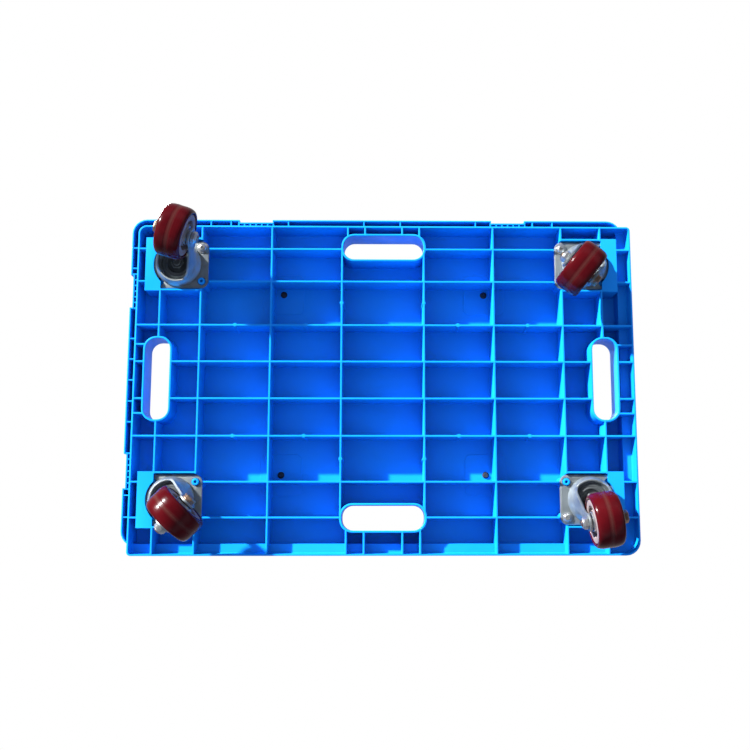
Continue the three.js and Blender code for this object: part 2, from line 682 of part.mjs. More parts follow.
function casterGroup(caster) {
  const fixed = new THREE.Group();
  const { x, y } = casterCentre(caster);
  fixed.position.set(x, y, 0);
  fixed.add(casterPlate(caster), kingpin(caster), kingpinNut(caster), mountingScrew(caster));

  const swivelling = new THREE.Group();
  swivelling.rotation.z = THREE.MathUtils.degToRad(caster.heading);
  swivelling.add(fork(caster), swivelBalls(caster));

  const axle = new THREE.Group();
  axle.position.set(TRAIL, 0, WHEEL_RADIUS);
  const spacerReach = BEARING_INNER_FACE - GAP;
  const spacerName = `${caster.name}_bearing_spacer`;
  axle.add(
    axleBolt(caster),
    axleNut(caster),
    axleRing(spacerName, AXLE_RADIUS + GAP, 6.5, -spacerReach, spacerReach, 12, steel),
    tread(caster),
    wheelCore(caster),
    wheelBearing(caster, -1, 'a'),
    wheelBearing(caster, 1, 'b'),
  );
  swivelling.add(axle);
  fixed.add(swivelling);
  return fixed;
}

// The origin is the middle of the whole part's footprint, so a wheel that reaches past the deck counts
function centredOnFootprint(group) {
  group.updateMatrixWorld(true);
  const box = new THREE.Box3().setFromObject(group, true);
  const centre = box.getCenter(new THREE.Vector3());
  group.position.set(-centre.x, -centre.y, -box.min.z);
  group.updateMatrixWorld(true);
  return group;
}

const dolly = new THREE.Group();
dolly.add(deck());
padCentres().forEach((pad) => dolly.add(gripPad(pad)));
CASTERS.forEach((caster) => dolly.add(casterGroup(caster)));

export default centredOnFootprint(dolly);
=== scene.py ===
"""Platform dolly on four swivel casters, seen from underneath.

Every piece is shaped in millimetres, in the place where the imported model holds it, and then
scaled to metres. The deck is cut and joined from drafted solids, and the casters are turned
and pressed parts made once for each corner.
"""

import itertools
import json
import math

import bmesh
import bpy
from mathutils import Matrix, Vector


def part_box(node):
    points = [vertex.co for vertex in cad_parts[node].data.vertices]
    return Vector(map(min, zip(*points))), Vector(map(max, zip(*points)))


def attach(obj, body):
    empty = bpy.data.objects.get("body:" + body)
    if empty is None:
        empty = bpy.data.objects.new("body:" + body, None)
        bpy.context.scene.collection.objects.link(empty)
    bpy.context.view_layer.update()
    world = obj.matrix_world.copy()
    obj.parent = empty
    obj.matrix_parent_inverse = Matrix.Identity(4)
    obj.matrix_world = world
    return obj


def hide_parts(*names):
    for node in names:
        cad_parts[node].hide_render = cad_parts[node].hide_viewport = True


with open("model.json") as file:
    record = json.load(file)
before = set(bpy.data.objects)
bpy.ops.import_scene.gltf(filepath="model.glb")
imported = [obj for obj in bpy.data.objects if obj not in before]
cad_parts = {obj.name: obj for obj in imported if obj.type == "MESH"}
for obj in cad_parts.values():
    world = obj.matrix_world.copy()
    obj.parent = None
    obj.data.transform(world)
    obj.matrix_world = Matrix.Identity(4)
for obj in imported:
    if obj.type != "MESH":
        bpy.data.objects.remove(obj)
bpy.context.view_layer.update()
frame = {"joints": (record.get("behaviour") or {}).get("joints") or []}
joints = {joint["name"]: joint for joint in frame["joints"]}

MM = 0.001
# Points closer than this become one, in metres; a bend above this angle stays sharp, in degrees
MERGE_DISTANCE = 1e-6
SHARP = 32

# Deck, in millimetres from the middle of the deck's own box
DECK_LOW, DECK_HIGH = (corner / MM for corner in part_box("deck"))
DECK_X = (DECK_LOW.x + DECK_HIGH.x) / 2
DECK_Y = (DECK_LOW.y + DECK_HIGH.y) / 2
HALF_LENGTH = (DECK_HIGH.x - DECK_LOW.x) / 2
HALF_WIDTH = (DECK_HIGH.y - DECK_LOW.y) / 2
DECK_TOP = DECK_HIGH.z
RIB_LEVEL = 86.0
FLOOR = DECK_TOP - 3.5
WALL = 3.0
GRID_Y = -4.5

LIP_WIDTH = 7.5
LIP_WALL = 2.0
LIP_BOTTOM = 88.0
LEDGE_WIDTH = 11.0
LEDGE_TOP = 106.0
LEDGE_BOTTOM = 103.0
LIP_RECESS_LENGTH = 40.0
LIP_RECESS_DEPTH = 3.3
LIP_RECESS_X = 152.0
LIP_RECESS_Y = 107.0
LIP_TEETH = 7
LIP_RIB = 1.5
LIP_RIBS_X = (22, 113, 182, 206)
LIP_RIBS_Y = (0, 25, 49.5, 135, 160)

# Ribs, measured from the middle of the grid
RIBS_ALONG_Y = (-264.0, -215.7, -132.0, 133.5, 215.7, 263.0)
RIBS_BETWEEN_HANDLES = (-47.8, 50.2)
RIBS_ALONG_X = (-158.8, -118.9, -65.8, 66.1, 119.5, 160.6)
RIBS_BETWEEN_SIDE_HANDLES = (-21.9, 22.0)
EJECTORS_X = (90.8, 174.0)
EJECTORS_Y = 66.0
EJECTORS_BY_HANDLE_Y = 92.8
EJECTOR_RADIUS = 2.3
HOUSING_RIB_X = 215.7
HANDLE_LENGTH = 99.0
HANDLE_WIDTH = 31.5
HANDLE_RADIUS = 14.0
HANDLE_WALL = 2.5
HANDLE_FLARE = 2.5
HANDLE_X = 264.5
HANDLE_Y = 161.0
HANDLE_MIDDLE_X = 2.0
HANDLE_MIDDLE_Y = -1.5
HANDLE_TIES_X = (22.3, 43)
SIDE_TIE_Y = 41.0

# The thickness of a rib at its edge and at its root: plastic parts taper so that they leave the mould
RIB_EDGE = 1.05
RIB_ROOT = 1.6
EDGE_ROUND = 0.45
# The outer wall's slope, and the round along the deck's top rim
WALL_DRAFT = 0.3
TOP_ROUND = 2.2

PAD_SIZE = 45.0
PAD_RADIUS = 5.0
PAD_SEAT = 1.5
PAD_PROUD = 1.0
PAD_RIDGES = 12
PAD_RIDGE_MARGIN = 3.0
PAD_PEG_RADIUS = 3.0
GAP = 0.3

PLATE_LENGTH = 71.0
PLATE_WIDTH = 58.0
PLATE_BOTTOM = 89.5
PLATE_TOP = 92.0
PLATE_RADIUS = 9.0
PLATE_HOLE_X = 27.8
PLATE_HOLE_Y = 20.5
PLATE_HOLE_RADIUS = 4.6
PLATE_SLOT_LENGTH = 6.0
PLATE_CENTRE_RADIUS = 17.0
PLATE_SEAT_RADIUS = 6.5
SCREW_BORE_RADIUS = 2.7
SCREW_BORE_TOP = 110.0
HOUSING_HALF_WIDTH = 31.5
HOUSING_END = 39.0
TAB_START = 20.5
TAB_TOP = 89.2
TAB_CUTOUT_RADIUS = 29.5

CORNERS = {"front_left": (-1, -1), "front_right": (1, -1), "rear_left": (-1, 1), "rear_right": (1, 1)}


# ---- outlines and solids ----

def rounded_box(x0, x1, y0, y1, radii, steps=6):
    """Points round a rectangle, anticlockwise from the front left, with a radius for each corner."""
    if not hasattr(radii, "__len__"):
        radii = (radii,) * 4
    a, b, c, d = radii
    centres = ((x0 + a, y0 + a, a, 180), (x1 - b, y0 + b, b, 270),
               (x1 - c, y1 - c, c, 0), (x0 + d, y1 - d, d, 90))
    points = []
    for x, y, radius, start in centres:
        for i in range(steps + 1):
            angle = math.radians(start + 90 * i / steps)
            points.append((x + radius * math.cos(angle), y + radius * math.sin(angle)))
    return points


def centred_box(x, y, length, width, radius, steps=6):
    return rounded_box(x - length / 2, x + length / 2, y - width / 2, y + width / 2, radius, steps)


def circle(x, y, radius, steps=24):
    angles = (2 * math.pi * i / steps for i in range(steps))
    return [(x + radius * math.cos(a), y + radius * math.sin(a)) for a in angles]


def offset(points, distance):
    """The outline moved outwards by distance (inwards if it is negative), corner by corner."""
    moved = []
    count = len(points)
    for i, point in enumerate(points):
        before = Vector(points[i - 1])
        here = Vector(point)
        after = Vector(points[(i + 1) % count])
        into = (here - before).normalized()
        out = (after - here).normalized()
        normal = Vector((into.y + out.y, -into.x - out.x)).normalized()
        share = max(normal.dot(Vector((into.y, -into.x))), 0.3)
        moved.append(tuple(here + normal * (distance / share)))
    return moved


def add_stepped(bm, points, levels):
    """A closed solid through one outline, moved outwards by each level's first number."""
    add_loft(bm, [(offset(points, out), z) for out, z in levels])


def add_loft(bm, levels):
    """A closed solid through outlines with the same number of points, each at its own height."""
    rings = [[bm.verts.new((x, y, z)) for x, y in points] for points, z in levels]
    for low, high in zip(rings, rings[1:]):
        for i in range(len(low)):
            j = (i + 1) % len(low)
            bm.faces.new((low[i], low[j], high[j], high[i]))
    bm.faces.new(rings[0][::-1])
    bm.faces.new(rings[-1])


def add_prism(bm, points, z0, z1, edge=0.0):
    """A slab with softly rounded rims, or square ones if edge is 0."""
    if edge <= 0:
        add_loft(bm, [(points, z0), (points, z1)])
        return
    steps = [(-edge, 0.0), (-edge * 0.3, edge * 0.3), (0.0, edge)]
    low = [(inset, z0 + rise) for inset, rise in steps]
    high = [(inset, z1 - rise) for inset, rise in reversed(steps)]
    add_stepped(bm, points, low + high)


def add_rib(bm, start, end, z0=RIB_LEVEL):
    """A thin tapered wall between two points, from a rounded free edge at z0 up into the floor."""
    edge = RIB_EDGE + (RIB_ROOT - RIB_EDGE) * (z0 - RIB_LEVEL) / (FLOOR - RIB_LEVEL)
    levels = [(edge - EDGE_ROUND, z0), (edge - EDGE_ROUND * 0.3, z0 + EDGE_ROUND * 0.3)]
    levels += [(edge, z0 + EDGE_ROUND), (RIB_ROOT, FLOOR + 1)]
    start, end = Vector(start), Vector(end)
    along = (end - start).normalized()
    outlines = []
    for half, z in levels:
        across = Vector((along.y, -along.x)) * half
        outlines.append(((start + across, end + across, end - across, start - across), z))
    add_loft(bm, outlines)


def add_turned(bm, profile, steps, axis="Z"):
    """A profile of (radius, height) points turned about an axis; a radius of 0 closes the end."""
    closed = profile[0] == profile[-1]
    points = profile[:-1] if closed else profile
    rings = []
    for radius, height in points:
        ring = circle(0, 0, radius, steps) if radius > 0 else [(0, 0)]
        places = [(x, y, height) if axis == "Z" else (x, height, -y) for x, y in ring]
        rings.append([bm.verts.new(place) for place in places])
    pairs = list(zip(rings, rings[1:]))
    if closed:
        pairs.append((rings[-1], rings[0]))
    for low, high in pairs:
        for i in range(steps):
            j = (i + 1) % steps
            corners = [low[i % len(low)], low[j % len(low)], high[j % len(high)], high[i % len(high)]]
            bm.faces.new(list(dict.fromkeys(corners)))


def soften(path, radius, steps=3, closed=False):
    """The path with each corner replaced by a short curve."""
    count = len(path)
    soft = []
    for i, point in enumerate(path):
        if not closed and i in (0, count - 1):
            soft.append(tuple(point))
            continue
        here = Vector(point)
        before = Vector(path[i - 1])
        after = Vector(path[(i + 1) % count])
        start = here + (before - here).normalized() * min(radius, (before - here).length * 0.45)
        end = here + (after - here).normalized() * min(radius, (after - here).length * 0.45)
        for k in range(steps + 1):
            t = k / steps
            soft.append(tuple(start * (1 - t) ** 2 + here * (2 * t * (1 - t)) + end * t ** 2))
    return soft


def soft_ring(profile, radius, steps=3):
    """A closed profile with rounded corners, for add_turned."""
    soft = soften(profile, radius, steps, closed=True)
    return soft + [soft[0]]


def piece_from(bm, name):
    """A Blender object from the shape, with every face turned outwards."""
    bmesh.ops.recalc_face_normals(bm, faces=bm.faces)
    mesh = bpy.data.meshes.new(name)
    bm.to_mesh(mesh)
    bm.free()
    piece = bpy.data.objects.new(name, mesh)
    bpy.context.scene.collection.objects.link(piece)
    return piece


def shape(name, step):
    """An object made by a function that adds closed solids to an empty mesh."""
    bm = bmesh.new()
    step(bm)
    return piece_from(bm, name)


def combine(piece, tool, operation):
    """Joins the tool to the piece, cuts it out of the piece, or keeps what both hold."""
    modifier = piece.modifiers.new("combine", "BOOLEAN")
    modifier.operation = operation
    modifier.solver = "MANIFOLD"
    modifier.object = tool
    view_layer = bpy.context.evaluated_depsgraph_get()
    joined = bpy.data.meshes.new_from_object(piece.evaluated_get(view_layer))
    if len(joined.polygons) == 0:
        raise RuntimeError(f"{piece.name}: nothing is left after {operation} with {tool.name}")
    piece.modifiers.clear()
    spent = (piece.data, tool.data)
    piece.data = joined
    bpy.data.objects.remove(tool)
    for mesh in spent:
        bpy.data.meshes.remove(mesh)
    return piece


def join(piece, step):
    return combine(piece, shape("tool", step), "UNION")


def cut(piece, step):
    return combine(piece, shape("tool", step), "DIFFERENCE")


def finish_piece(piece, body, nodes, slot_name, material, place, sharp=SHARP):
    """Scales a shape to metres in its place, smooths it, paints it and hangs it on its body."""
    mesh = piece.data
    mesh.transform(Matrix.Scale(MM, 4))
    piece.matrix_world = place
    bm = bmesh.new()
    bm.from_mesh(mesh)
    bmesh.ops.remove_doubles(bm, verts=bm.verts, dist=MERGE_DISTANCE)
    bmesh.ops.dissolve_degenerate(bm, dist=MERGE_DISTANCE, edges=bm.edges)
    bm.to_mesh(mesh)
    bm.free()
    mesh.shade_smooth()
    mesh.set_sharp_from_angle(angle=math.radians(sharp))
    mesh.materials.clear()
    mesh.materials.append(material)
    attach(piece, body)
    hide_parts(*nodes)
    return piece


# ---- materials ----

def add_node(tree, kind, inputs=None, **settings):
    """A new node with its settings, and with a value or a link for each of the inputs named."""
    node = tree.nodes.new(f"ShaderNode{kind}")
    for name, value in settings.items():
        setattr(node, name, value)
    for socket, value in (inputs or {}).items():
        if isinstance(value, bpy.types.NodeSocket):
            tree.links.new(value, node.inputs[socket])
        else:
            node.inputs[socket].default_value = value
    return node


class Surface:
    """A procedural material under construction, in the piece's own object coordinates."""

    def __init__(self, name, **sockets):
        self.material = bpy.data.materials.new(name)
        self.material.use_nodes = True
        self.tree = self.material.node_tree
        self.shader = self.tree.nodes["Principled BSDF"]
        for socket, value in sockets.items():
            self.shader.inputs[socket.replace("_", " ")].default_value = value
        self.place = self.node("TexCoord").outputs["Object"]

    def node(self, kind, inputs=None, **settings):
        return add_node(self.tree, kind, inputs, **settings)

    def stretched(self, scale):
        """The object's coordinates stretched by a factor along each axis."""
        return self.node("Mapping", {"Vector": self.place, "Scale": scale}).outputs["Vector"]

    def noise(self, scale, detail, roughness, distortion=0.0, vector=None):
        inputs = {"Vector": vector or self.place, "Scale": scale, "Detail": detail}
        inputs.update({"Roughness": roughness, "Distortion": distortion})
        return self.node("TexNoise", inputs).outputs["Fac"]

    def cells(self, scale):
        return self.node("TexVoronoi", {"Vector": self.place, "Scale": scale}).outputs["Distance"]

    def ramp(self, value, low, high, at=(0.3, 0.7)):
        """Two values or colours, with the change between them at the given part of the input."""
        node = self.node("ValToRGB", {"Fac": value})
        for element, position, colour in zip(node.color_ramp.elements, at, (low, high)):
            element.position = position
            element.color = (*colour, 1) if hasattr(colour, "__len__") else (colour,) * 3 + (1,)
        return node.outputs["Color"]

    def mix(self, share, first, second):
        """The first colour's output with the second colour over it, by the share's output."""
        node = self.node("Mix", data_type="RGBA")
        sockets = {socket.identifier: socket for socket in (*node.inputs, *node.outputs)}
        self.tree.links.new(share, sockets["Factor_Float"])
        self.tree.links.new(first, sockets["A_Color"])
        sockets["B_Color"].default_value = (*second, 1)
        return sockets["Result_Color"]

    def sum(self, first, second, weight=1.0):
        """The first value and the weighted second one."""
        return self.node("Math", {0: second, 1: weight, 2: first}, operation="MULTIPLY_ADD").outputs[0]

    def bump(self, height, distance, strength):
        node = self.node("Bump", {"Height": height, "Distance": distance, "Strength": strength})
        self.tree.links.new(node.outputs["Normal"], self.shader.inputs["Normal"])

    def paint(self, colour, roughness):
        self.tree.links.new(colour, self.shader.inputs["Base Color"])
        self.tree.links.new(roughness, self.shader.inputs["Roughness"])
        return self.material


def deck_plastic():
    """Blue polypropylene: flow marks, a fine spark-eroded grain and pale scuffs."""
    surface = Surface("blue_polypropylene", IOR=1.49, Specular_IOR_Level=0.10)
    flow = surface.noise(9, 4, 0.55, 0.6)
    colour = surface.ramp(flow, (0.003, 0.205, 0.60), (0.006, 0.235, 0.68), (0.3, 0.7))
    streaks = surface.noise(60, 5, 0.7, vector=surface.stretched((1, 6, 6)))
    scuff = surface.ramp(streaks, 0.0, 1.0, (0.70, 0.86))
    colour = surface.mix(scuff, colour, (0.02, 0.29, 0.72))
    roughness = surface.ramp(surface.noise(35, 4, 0.6), 0.34, 0.50)
    grain = surface.noise(2600, 2, 0.5)
    waves = surface.noise(28, 2, 0.5)
    surface.bump(surface.sum(grain, waves, 3.0), 0.00006, 0.6)
    return surface.paint(colour, roughness)


def mottled(name, colour, dirt, roughness, grain, **sockets):
    """A mottled colour with dirt over it, uneven roughness and a fine grain.

    Colour, dirt and roughness each give a noise and the values that it moves between, dirt then its
    own colour; the grain gives a noise, a depth and a strength.
    """
    def spread(noise, low, high, at=(0.3, 0.7)):
        return surface.ramp(surface.noise(*noise), low, high, at)

    surface = Surface(name, **sockets)
    colour = spread(*colour)
    if dirt:
        *amount, over = dirt
        colour = surface.mix(spread(*amount), colour, over)
    roughness = spread(*roughness)
    noise, *depth = grain
    surface.bump(surface.noise(*noise), *depth)
    return surface.paint(colour, roughness)


def pad_rubber():
    """Black rubber with a dusty bloom."""
    colour = ((45, 5, 0.65), (0.012, 0.012, 0.013), (0.045, 0.044, 0.043), (0.35, 0.8))
    roughness = ((150, 3, 0.6), 0.62, 0.85)
    grain = ((3000, 2, 0.6), 0.00008, 0.7)
    return mottled("anti_slip_rubber", colour, None, roughness, grain, Specular_IOR_Level=0.35)


# Painted shade round the kingpin, darkening the zinc inside the fork's cup: how strong it is, how far it
# reaches and how far it fades, in metres
CUP_PAINTED_SHADE = 0.62
CUP_PAINTED_SHADE_RADIUS = 0.0185
CUP_PAINTED_SHADE_FADE = 0.004

# The worn band round a tread: how far it reaches from the middle and where it has faded, in metres
WORN_BAND = (0.0026, 0.0036)


def zinc_steel():
    """Bright zinc plate on pressed steel: clouded and faintly blue, with painted shade darkening it round the
    kingpin, inside the fork's cup.
    """
    surface = Surface("zinc_plated_steel", Metallic=0.92)
    cloud = surface.noise(55, 5, 0.6, 0.8)
    colour = surface.ramp(cloud, (0.35, 0.39, 0.40), (0.49, 0.54, 0.54), (0.32, 0.68))
    tint = surface.ramp(surface.noise(22, 3, 0.5), 0.0, 0.35, (0.5, 0.75))
    colour = surface.mix(tint, colour, (0.32, 0.38, 0.48))
    # Painted shade: the colour turns dark grey within a set distance of the swivel axis, with a noisy edge,
    # standing in for the shade inside the fork's cup
    radius = surface.node("VectorMath", {0: surface.stretched((1, 1, 0))}, operation="LENGTH")
    painted_shade_edge = surface.sum(radius.outputs["Value"], surface.noise(160, 3, 0.6), CUP_PAINTED_SHADE_FADE)
    painted_shade = surface.ramp(painted_shade_edge, CUP_PAINTED_SHADE, 0.0, (CUP_PAINTED_SHADE_RADIUS, CUP_PAINTED_SHADE_RADIUS + CUP_PAINTED_SHADE_FADE))
    colour = surface.mix(painted_shade, colour, (0.06, 0.065, 0.07))
    spangle = surface.ramp(surface.cells(420), 0.0, 0.05, (0.1, 0.6))
    roughness = surface.ramp(surface.sum(surface.noise(120, 4, 0.6), spangle), 0.46, 0.62, (0.3, 0.75))
    lines = surface.noise(500, 3, 0.5, vector=surface.stretched((1, 14, 1)))
    dents = surface.noise(70, 2, 0.5)
    surface.bump(surface.sum(lines, dents, 9.0), 0.00007, 0.55)
    return surface.paint(colour, roughness)


def bright_steel():
    """Bright fasteners and bearings."""
    colour = ((160, 4, 0.6), (0.50, 0.52, 0.54), (0.70, 0.70, 0.69))
    roughness = ((300, 3, 0.6), 0.28, 0.44)
    grain = ((900, 3, 0.5), 0.00004, 0.5)
    return mottled("bright_steel", colour, None, roughness, grain, Metallic=0.92)


def gold_zinc():
    """A yellow-passivated bolt, pinkish gold with grey where it has rubbed off."""
    colour = ((190, 4, 0.6, 1.2), (0.42, 0.26, 0.17), (0.58, 0.40, 0.29))
    rubbed = ((420, 4, 0.65), 0.0, 0.8, (0.55, 0.75), (0.46, 0.44, 0.42))
    roughness = ((300, 3, 0.6), 0.38, 0.55)
    grain = ((900, 3, 0.5), 0.00004, 0.5)
    return mottled("yellow_passivated_steel", colour, rubbed, roughness, grain, Metallic=1.0)


def wheel_tread():
    """Glossy maroon polyurethane with a worn, dusty band round the middle."""
    surface = Surface("maroon_polyurethane", Coat_Weight=0.14, Coat_Roughness=0.14, IOR=1.5,
                      Specular_IOR_Level=0.12)
    colour = surface.ramp(surface.noise(40, 4, 0.6), (0.030, 0.0012, 0.0022), (0.048, 0.0018, 0.0030))
    across = surface.node("SeparateXYZ", {"Vector": surface.place}).outputs["Y"]
    distance = surface.node("Math", {0: across}, operation="ABSOLUTE").outputs[0]
    wobble = surface.sum(distance, surface.noise(90, 3, 0.6), 0.0012)
    band = surface.ramp(wobble, 0.55, 0.0, WORN_BAND)
    colour = surface.mix(band, colour, (0.054, 0.021, 0.016))
    streaks = surface.noise(260, 5, 0.7, vector=surface.stretched((1, 3, 1)))
    marks = surface.ramp(streaks, 0.0, 0.25, (0.66, 0.85))
    colour = surface.mix(marks, colour, (0.016, 0.005, 0.005))
    roughness = surface.ramp(surface.sum(surface.noise(120, 4, 0.6), band, 0.5), 0.16, 0.36, (0.35, 0.9))
    surface.bump(surface.noise(260, 2, 0.5), 0.00002, 0.25)
    return surface.paint(colour, roughness)


def wheel_core():
    """Pale pinkish moulded wheel centre, speckled and slightly chalky."""
    colour = ((70, 4, 0.6), (0.16, 0.122, 0.118), (0.235, 0.187, 0.178))
    dirt = ((240, 5, 0.7), 0.0, 0.5, (0.6, 0.8), (0.10, 0.075, 0.07))
    roughness = ((180, 3, 0.6), 0.34, 0.52)
    grain = ((1500, 2, 0.5), 0.00005, 0.5)
    return mottled("pale_wheel_centre", colour, dirt, roughness, grain, Specular_IOR_Level=0.2)


# ---- deck ----

# Plans: the limits along X and Y, then the corners' radii, anticlockwise from the front left
LOWER = (LIP_WIDTH - HALF_LENGTH, HALF_LENGTH, LIP_WIDTH - HALF_WIDTH, HALF_WIDTH, (10, 5, 17.5, 5))
UPPER = (-HALF_LENGTH, HALF_LENGTH - LEDGE_WIDTH, -HALF_WIDTH, HALF_WIDTH - LEDGE_WIDTH,
         (17.5, 17.5, 5, 17.5))
INSIDE = (LOWER[0] + WALL, UPPER[1] - WALL, LOWER[2] + WALL, UPPER[3] - WALL, (7, 3, 3, 3))
SMALLEST_RADIUS = 0.8


def add_plan(bm, plan, levels):
    """A closed solid through a plan, drawn inwards by each level's first number."""
    x0, x1, y0, y1, radii = plan
    outlines = []
    for inset, z in levels:
        smaller = [max(radius - inset, SMALLEST_RADIUS) for radius in radii]
        outlines.append((rounded_box(x0 + inset, x1 - inset, y0 + inset, y1 - inset, smaller), z))
    add_loft(bm, outlines)


def lower_body(bm):
    early = EDGE_ROUND * 0.3
    levels = [(WALL_DRAFT + EDGE_ROUND, RIB_LEVEL), (WALL_DRAFT + early, RIB_LEVEL + early)]
    levels += [(WALL_DRAFT, RIB_LEVEL + EDGE_ROUND), (0.0, LEDGE_TOP - 1.2)]
    levels += [(0.25, LEDGE_TOP - 0.5), (0.9, LEDGE_TOP)]
    add_plan(bm, LOWER, levels)


def top_round(radius):
    """Levels of a quarter round that ends at the deck's top: how far in, and how high."""
    angles = [math.radians(18 * i) for i in range(1, 6)]
    return [(radius * (1 - math.cos(angle)), DECK_TOP - radius * (1 - math.sin(angle))) for angle in angles]


def upper_body(bm):
    levels = [(0.45, LIP_BOTTOM), (0.15, LIP_BOTTOM + 0.15), (0.0, LIP_BOTTOM + 0.5)]
    levels += [(0.0, DECK_TOP - TOP_ROUND), *top_round(TOP_ROUND)]
    add_plan(bm, UPPER, levels)


def deck_hollow(bm):
    levels = [(-0.7, RIB_LEVEL - 6), (-0.7, RIB_LEVEL + 0.2), (0.2, FLOOR - 1.5)]
    levels += [(0.7, FLOOR - 0.4), (1.6, FLOOR)]
    add_plan(bm, INSIDE, levels)


def ledge_hollow(bm):
    levels = [(WALL - 0.8, RIB_LEVEL - 6), (WALL - 0.8, RIB_LEVEL)]
    levels += [(WALL, LEDGE_BOTTOM - 0.8), (WALL + 0.8, LEDGE_BOTTOM)]
    add_plan(bm, LOWER, levels)


def lip_hollow():
    """The gap between the lip and the deck's own wall."""
    outer = [(LIP_WALL - 0.4, LIP_BOTTOM - 2), (LIP_WALL + 0.3, FLOOR - 0.5), (LIP_WALL + 0.8, FLOOR)]
    inner = [(0.3, RIB_LEVEL - 8), (0.0, LEDGE_TOP), (-0.3, FLOOR - 0.5), (-0.8, FLOOR + 2)]
    hollow = shape("lip_hollow", lambda bm: add_plan(bm, UPPER, outer))
    return cut(hollow, lambda bm: add_plan(bm, LOWER, inner))


def rib_space():
    """The room inside the outer walls, so that no rib shows through them."""
    main = [(-1.2, RIB_LEVEL - 1), (-1.2, FLOOR + 1.2)]
    under_ledge = [(WALL - 1.5, RIB_LEVEL - 1), (WALL - 1.5, LEDGE_BOTTOM + 1)]
    space = shape("rib_space", lambda bm: add_plan(bm, INSIDE, main))
    return join(space, lambda bm: add_plan(bm, LOWER, under_ledge))


def caster_spots():
    """Each corner's side along X and along Y, and the middle of its plate in deck millimetres."""
    for corner, (sx, sy) in CORNERS.items():
        place = joints[f"{corner}_swivel"]["pos_m"]
        yield sx, sy, place[0] / MM - DECK_X, place[1] / MM - DECK_Y


def ribs_along_x(bm):
    x0, x1 = LOWER[0] - 1, LOWER[1] + 1
    for y in (*RIBS_ALONG_X, *RIBS_BETWEEN_SIDE_HANDLES):
        add_rib(bm, (x0, GRID_Y + y), (x1, GRID_Y + y))
    for side in (-1, 1):
        y = GRID_Y + HANDLE_MIDDLE_Y + side * SIDE_TIE_Y
        add_rib(bm, (x0, y), (-HANDLE_X, y))
        add_rib(bm, (HANDLE_X, y), (x1, y))
    for sx, sy, x, y in caster_spots():
        inner, end = sx * HOUSING_RIB_X, x + sx * HOUSING_END
        for side in (-1, 1):
            wall_y = y + side * HOUSING_HALF_WIDTH
            add_rib(bm, (inner, wall_y), (end - sx, wall_y))
        add_rib(bm, (inner, y), (end - sx, y), PLATE_TOP + GAP)


def ribs_along_y(bm):
    y0, y1 = LOWER[2] - 1, LOWER[3] + 1
    for x in RIBS_ALONG_Y:
        add_rib(bm, (x, y0), (x, y1))
    for x in RIBS_BETWEEN_HANDLES:
        add_rib(bm, (x, GRID_Y - HANDLE_Y), (x, GRID_Y + HANDLE_Y))
    for tie in HANDLE_TIES_X:
        for side in (-1, 1):
            x = HANDLE_MIDDLE_X + side * tie
            add_rib(bm, (x, y0), (x, GRID_Y - HANDLE_Y))
            add_rib(bm, (x, GRID_Y + HANDLE_Y), (x, y1))
    for sx, sy, x, y in caster_spots():
        reach = HOUSING_HALF_WIDTH + RIB_EDGE
        end = x + sx * (HOUSING_END - 1)
        add_rib(bm, (end, y - reach), (end, y + reach))
        add_rib(bm, (x, y - reach + 1), (x, y + reach - 1), PLATE_TOP + GAP)


def handle_outlines():
    """The four hand holes: front, rear, left and right."""
    long_ways = (HANDLE_LENGTH, HANDLE_WIDTH, HANDLE_RADIUS, 8)
    cross_ways = (HANDLE_WIDTH, HANDLE_LENGTH, HANDLE_RADIUS, 8)
    outlines = [centred_box(HANDLE_MIDDLE_X, GRID_Y + side * HANDLE_Y, *long_ways) for side in (-1, 1)]
    outlines += [centred_box(side * HANDLE_X, GRID_Y + HANDLE_MIDDLE_Y, *cross_ways) for side in (-1, 1)]
    return outlines


def handle_walls(bm):
    half = HANDLE_WALL / 2
    for outline in handle_outlines():
        levels = [(half - 0.6, RIB_LEVEL), (half - 0.2, RIB_LEVEL + 0.2), (half - 0.1, RIB_LEVEL + 0.6)]
        levels += [(half + 0.5, FLOOR - 1), (half + 1.5, FLOOR), (half + 1.5, FLOOR + 1)]
        add_stepped(bm, outline, levels)


def hand_holes(bm):
    """The holes themselves, flared where they meet the deck's top so that a hand isn't cut."""
    half = HANDLE_WALL / 2
    for outline in handle_outlines():
        levels = [(0.5 - half, RIB_LEVEL - 2), (0.5 - half, RIB_LEVEL)]
        levels += [(-half, RIB_LEVEL + 0.7), (-half, DECK_TOP - HANDLE_FLARE)]
        levels += [(out - half, z) for out, z in top_round(HANDLE_FLARE)]
        levels.append((levels[-1][0], DECK_TOP + 2))
        add_stepped(bm, outline, levels)


def plate_recesses(bm):
    for sx, sy, x, y in caster_spots():
        half = PLATE_WIDTH / 2 + 1
        ends = sorted((x - sx * (PLATE_LENGTH / 2 + 1.5), x + sx * (PLATE_LENGTH / 2 + 0.6)))
        add_prism(bm, rounded_box(*ends, y - half, y + half, 2.0, 3), RIB_LEVEL - 2, PLATE_TOP + GAP)


def plate_seats(bm):
    """Round bosses behind the plate's inner holes."""
    for sx, sy, x, y in caster_spots():
        for side in (-1, 1):
            centre = circle(x - sx * PLATE_HOLE_X, y + side * PLATE_HOLE_Y, PLATE_SEAT_RADIUS)
            add_loft(bm, [(centre, PLATE_TOP + GAP), (offset(centre, 0.5), FLOOR + 1)])


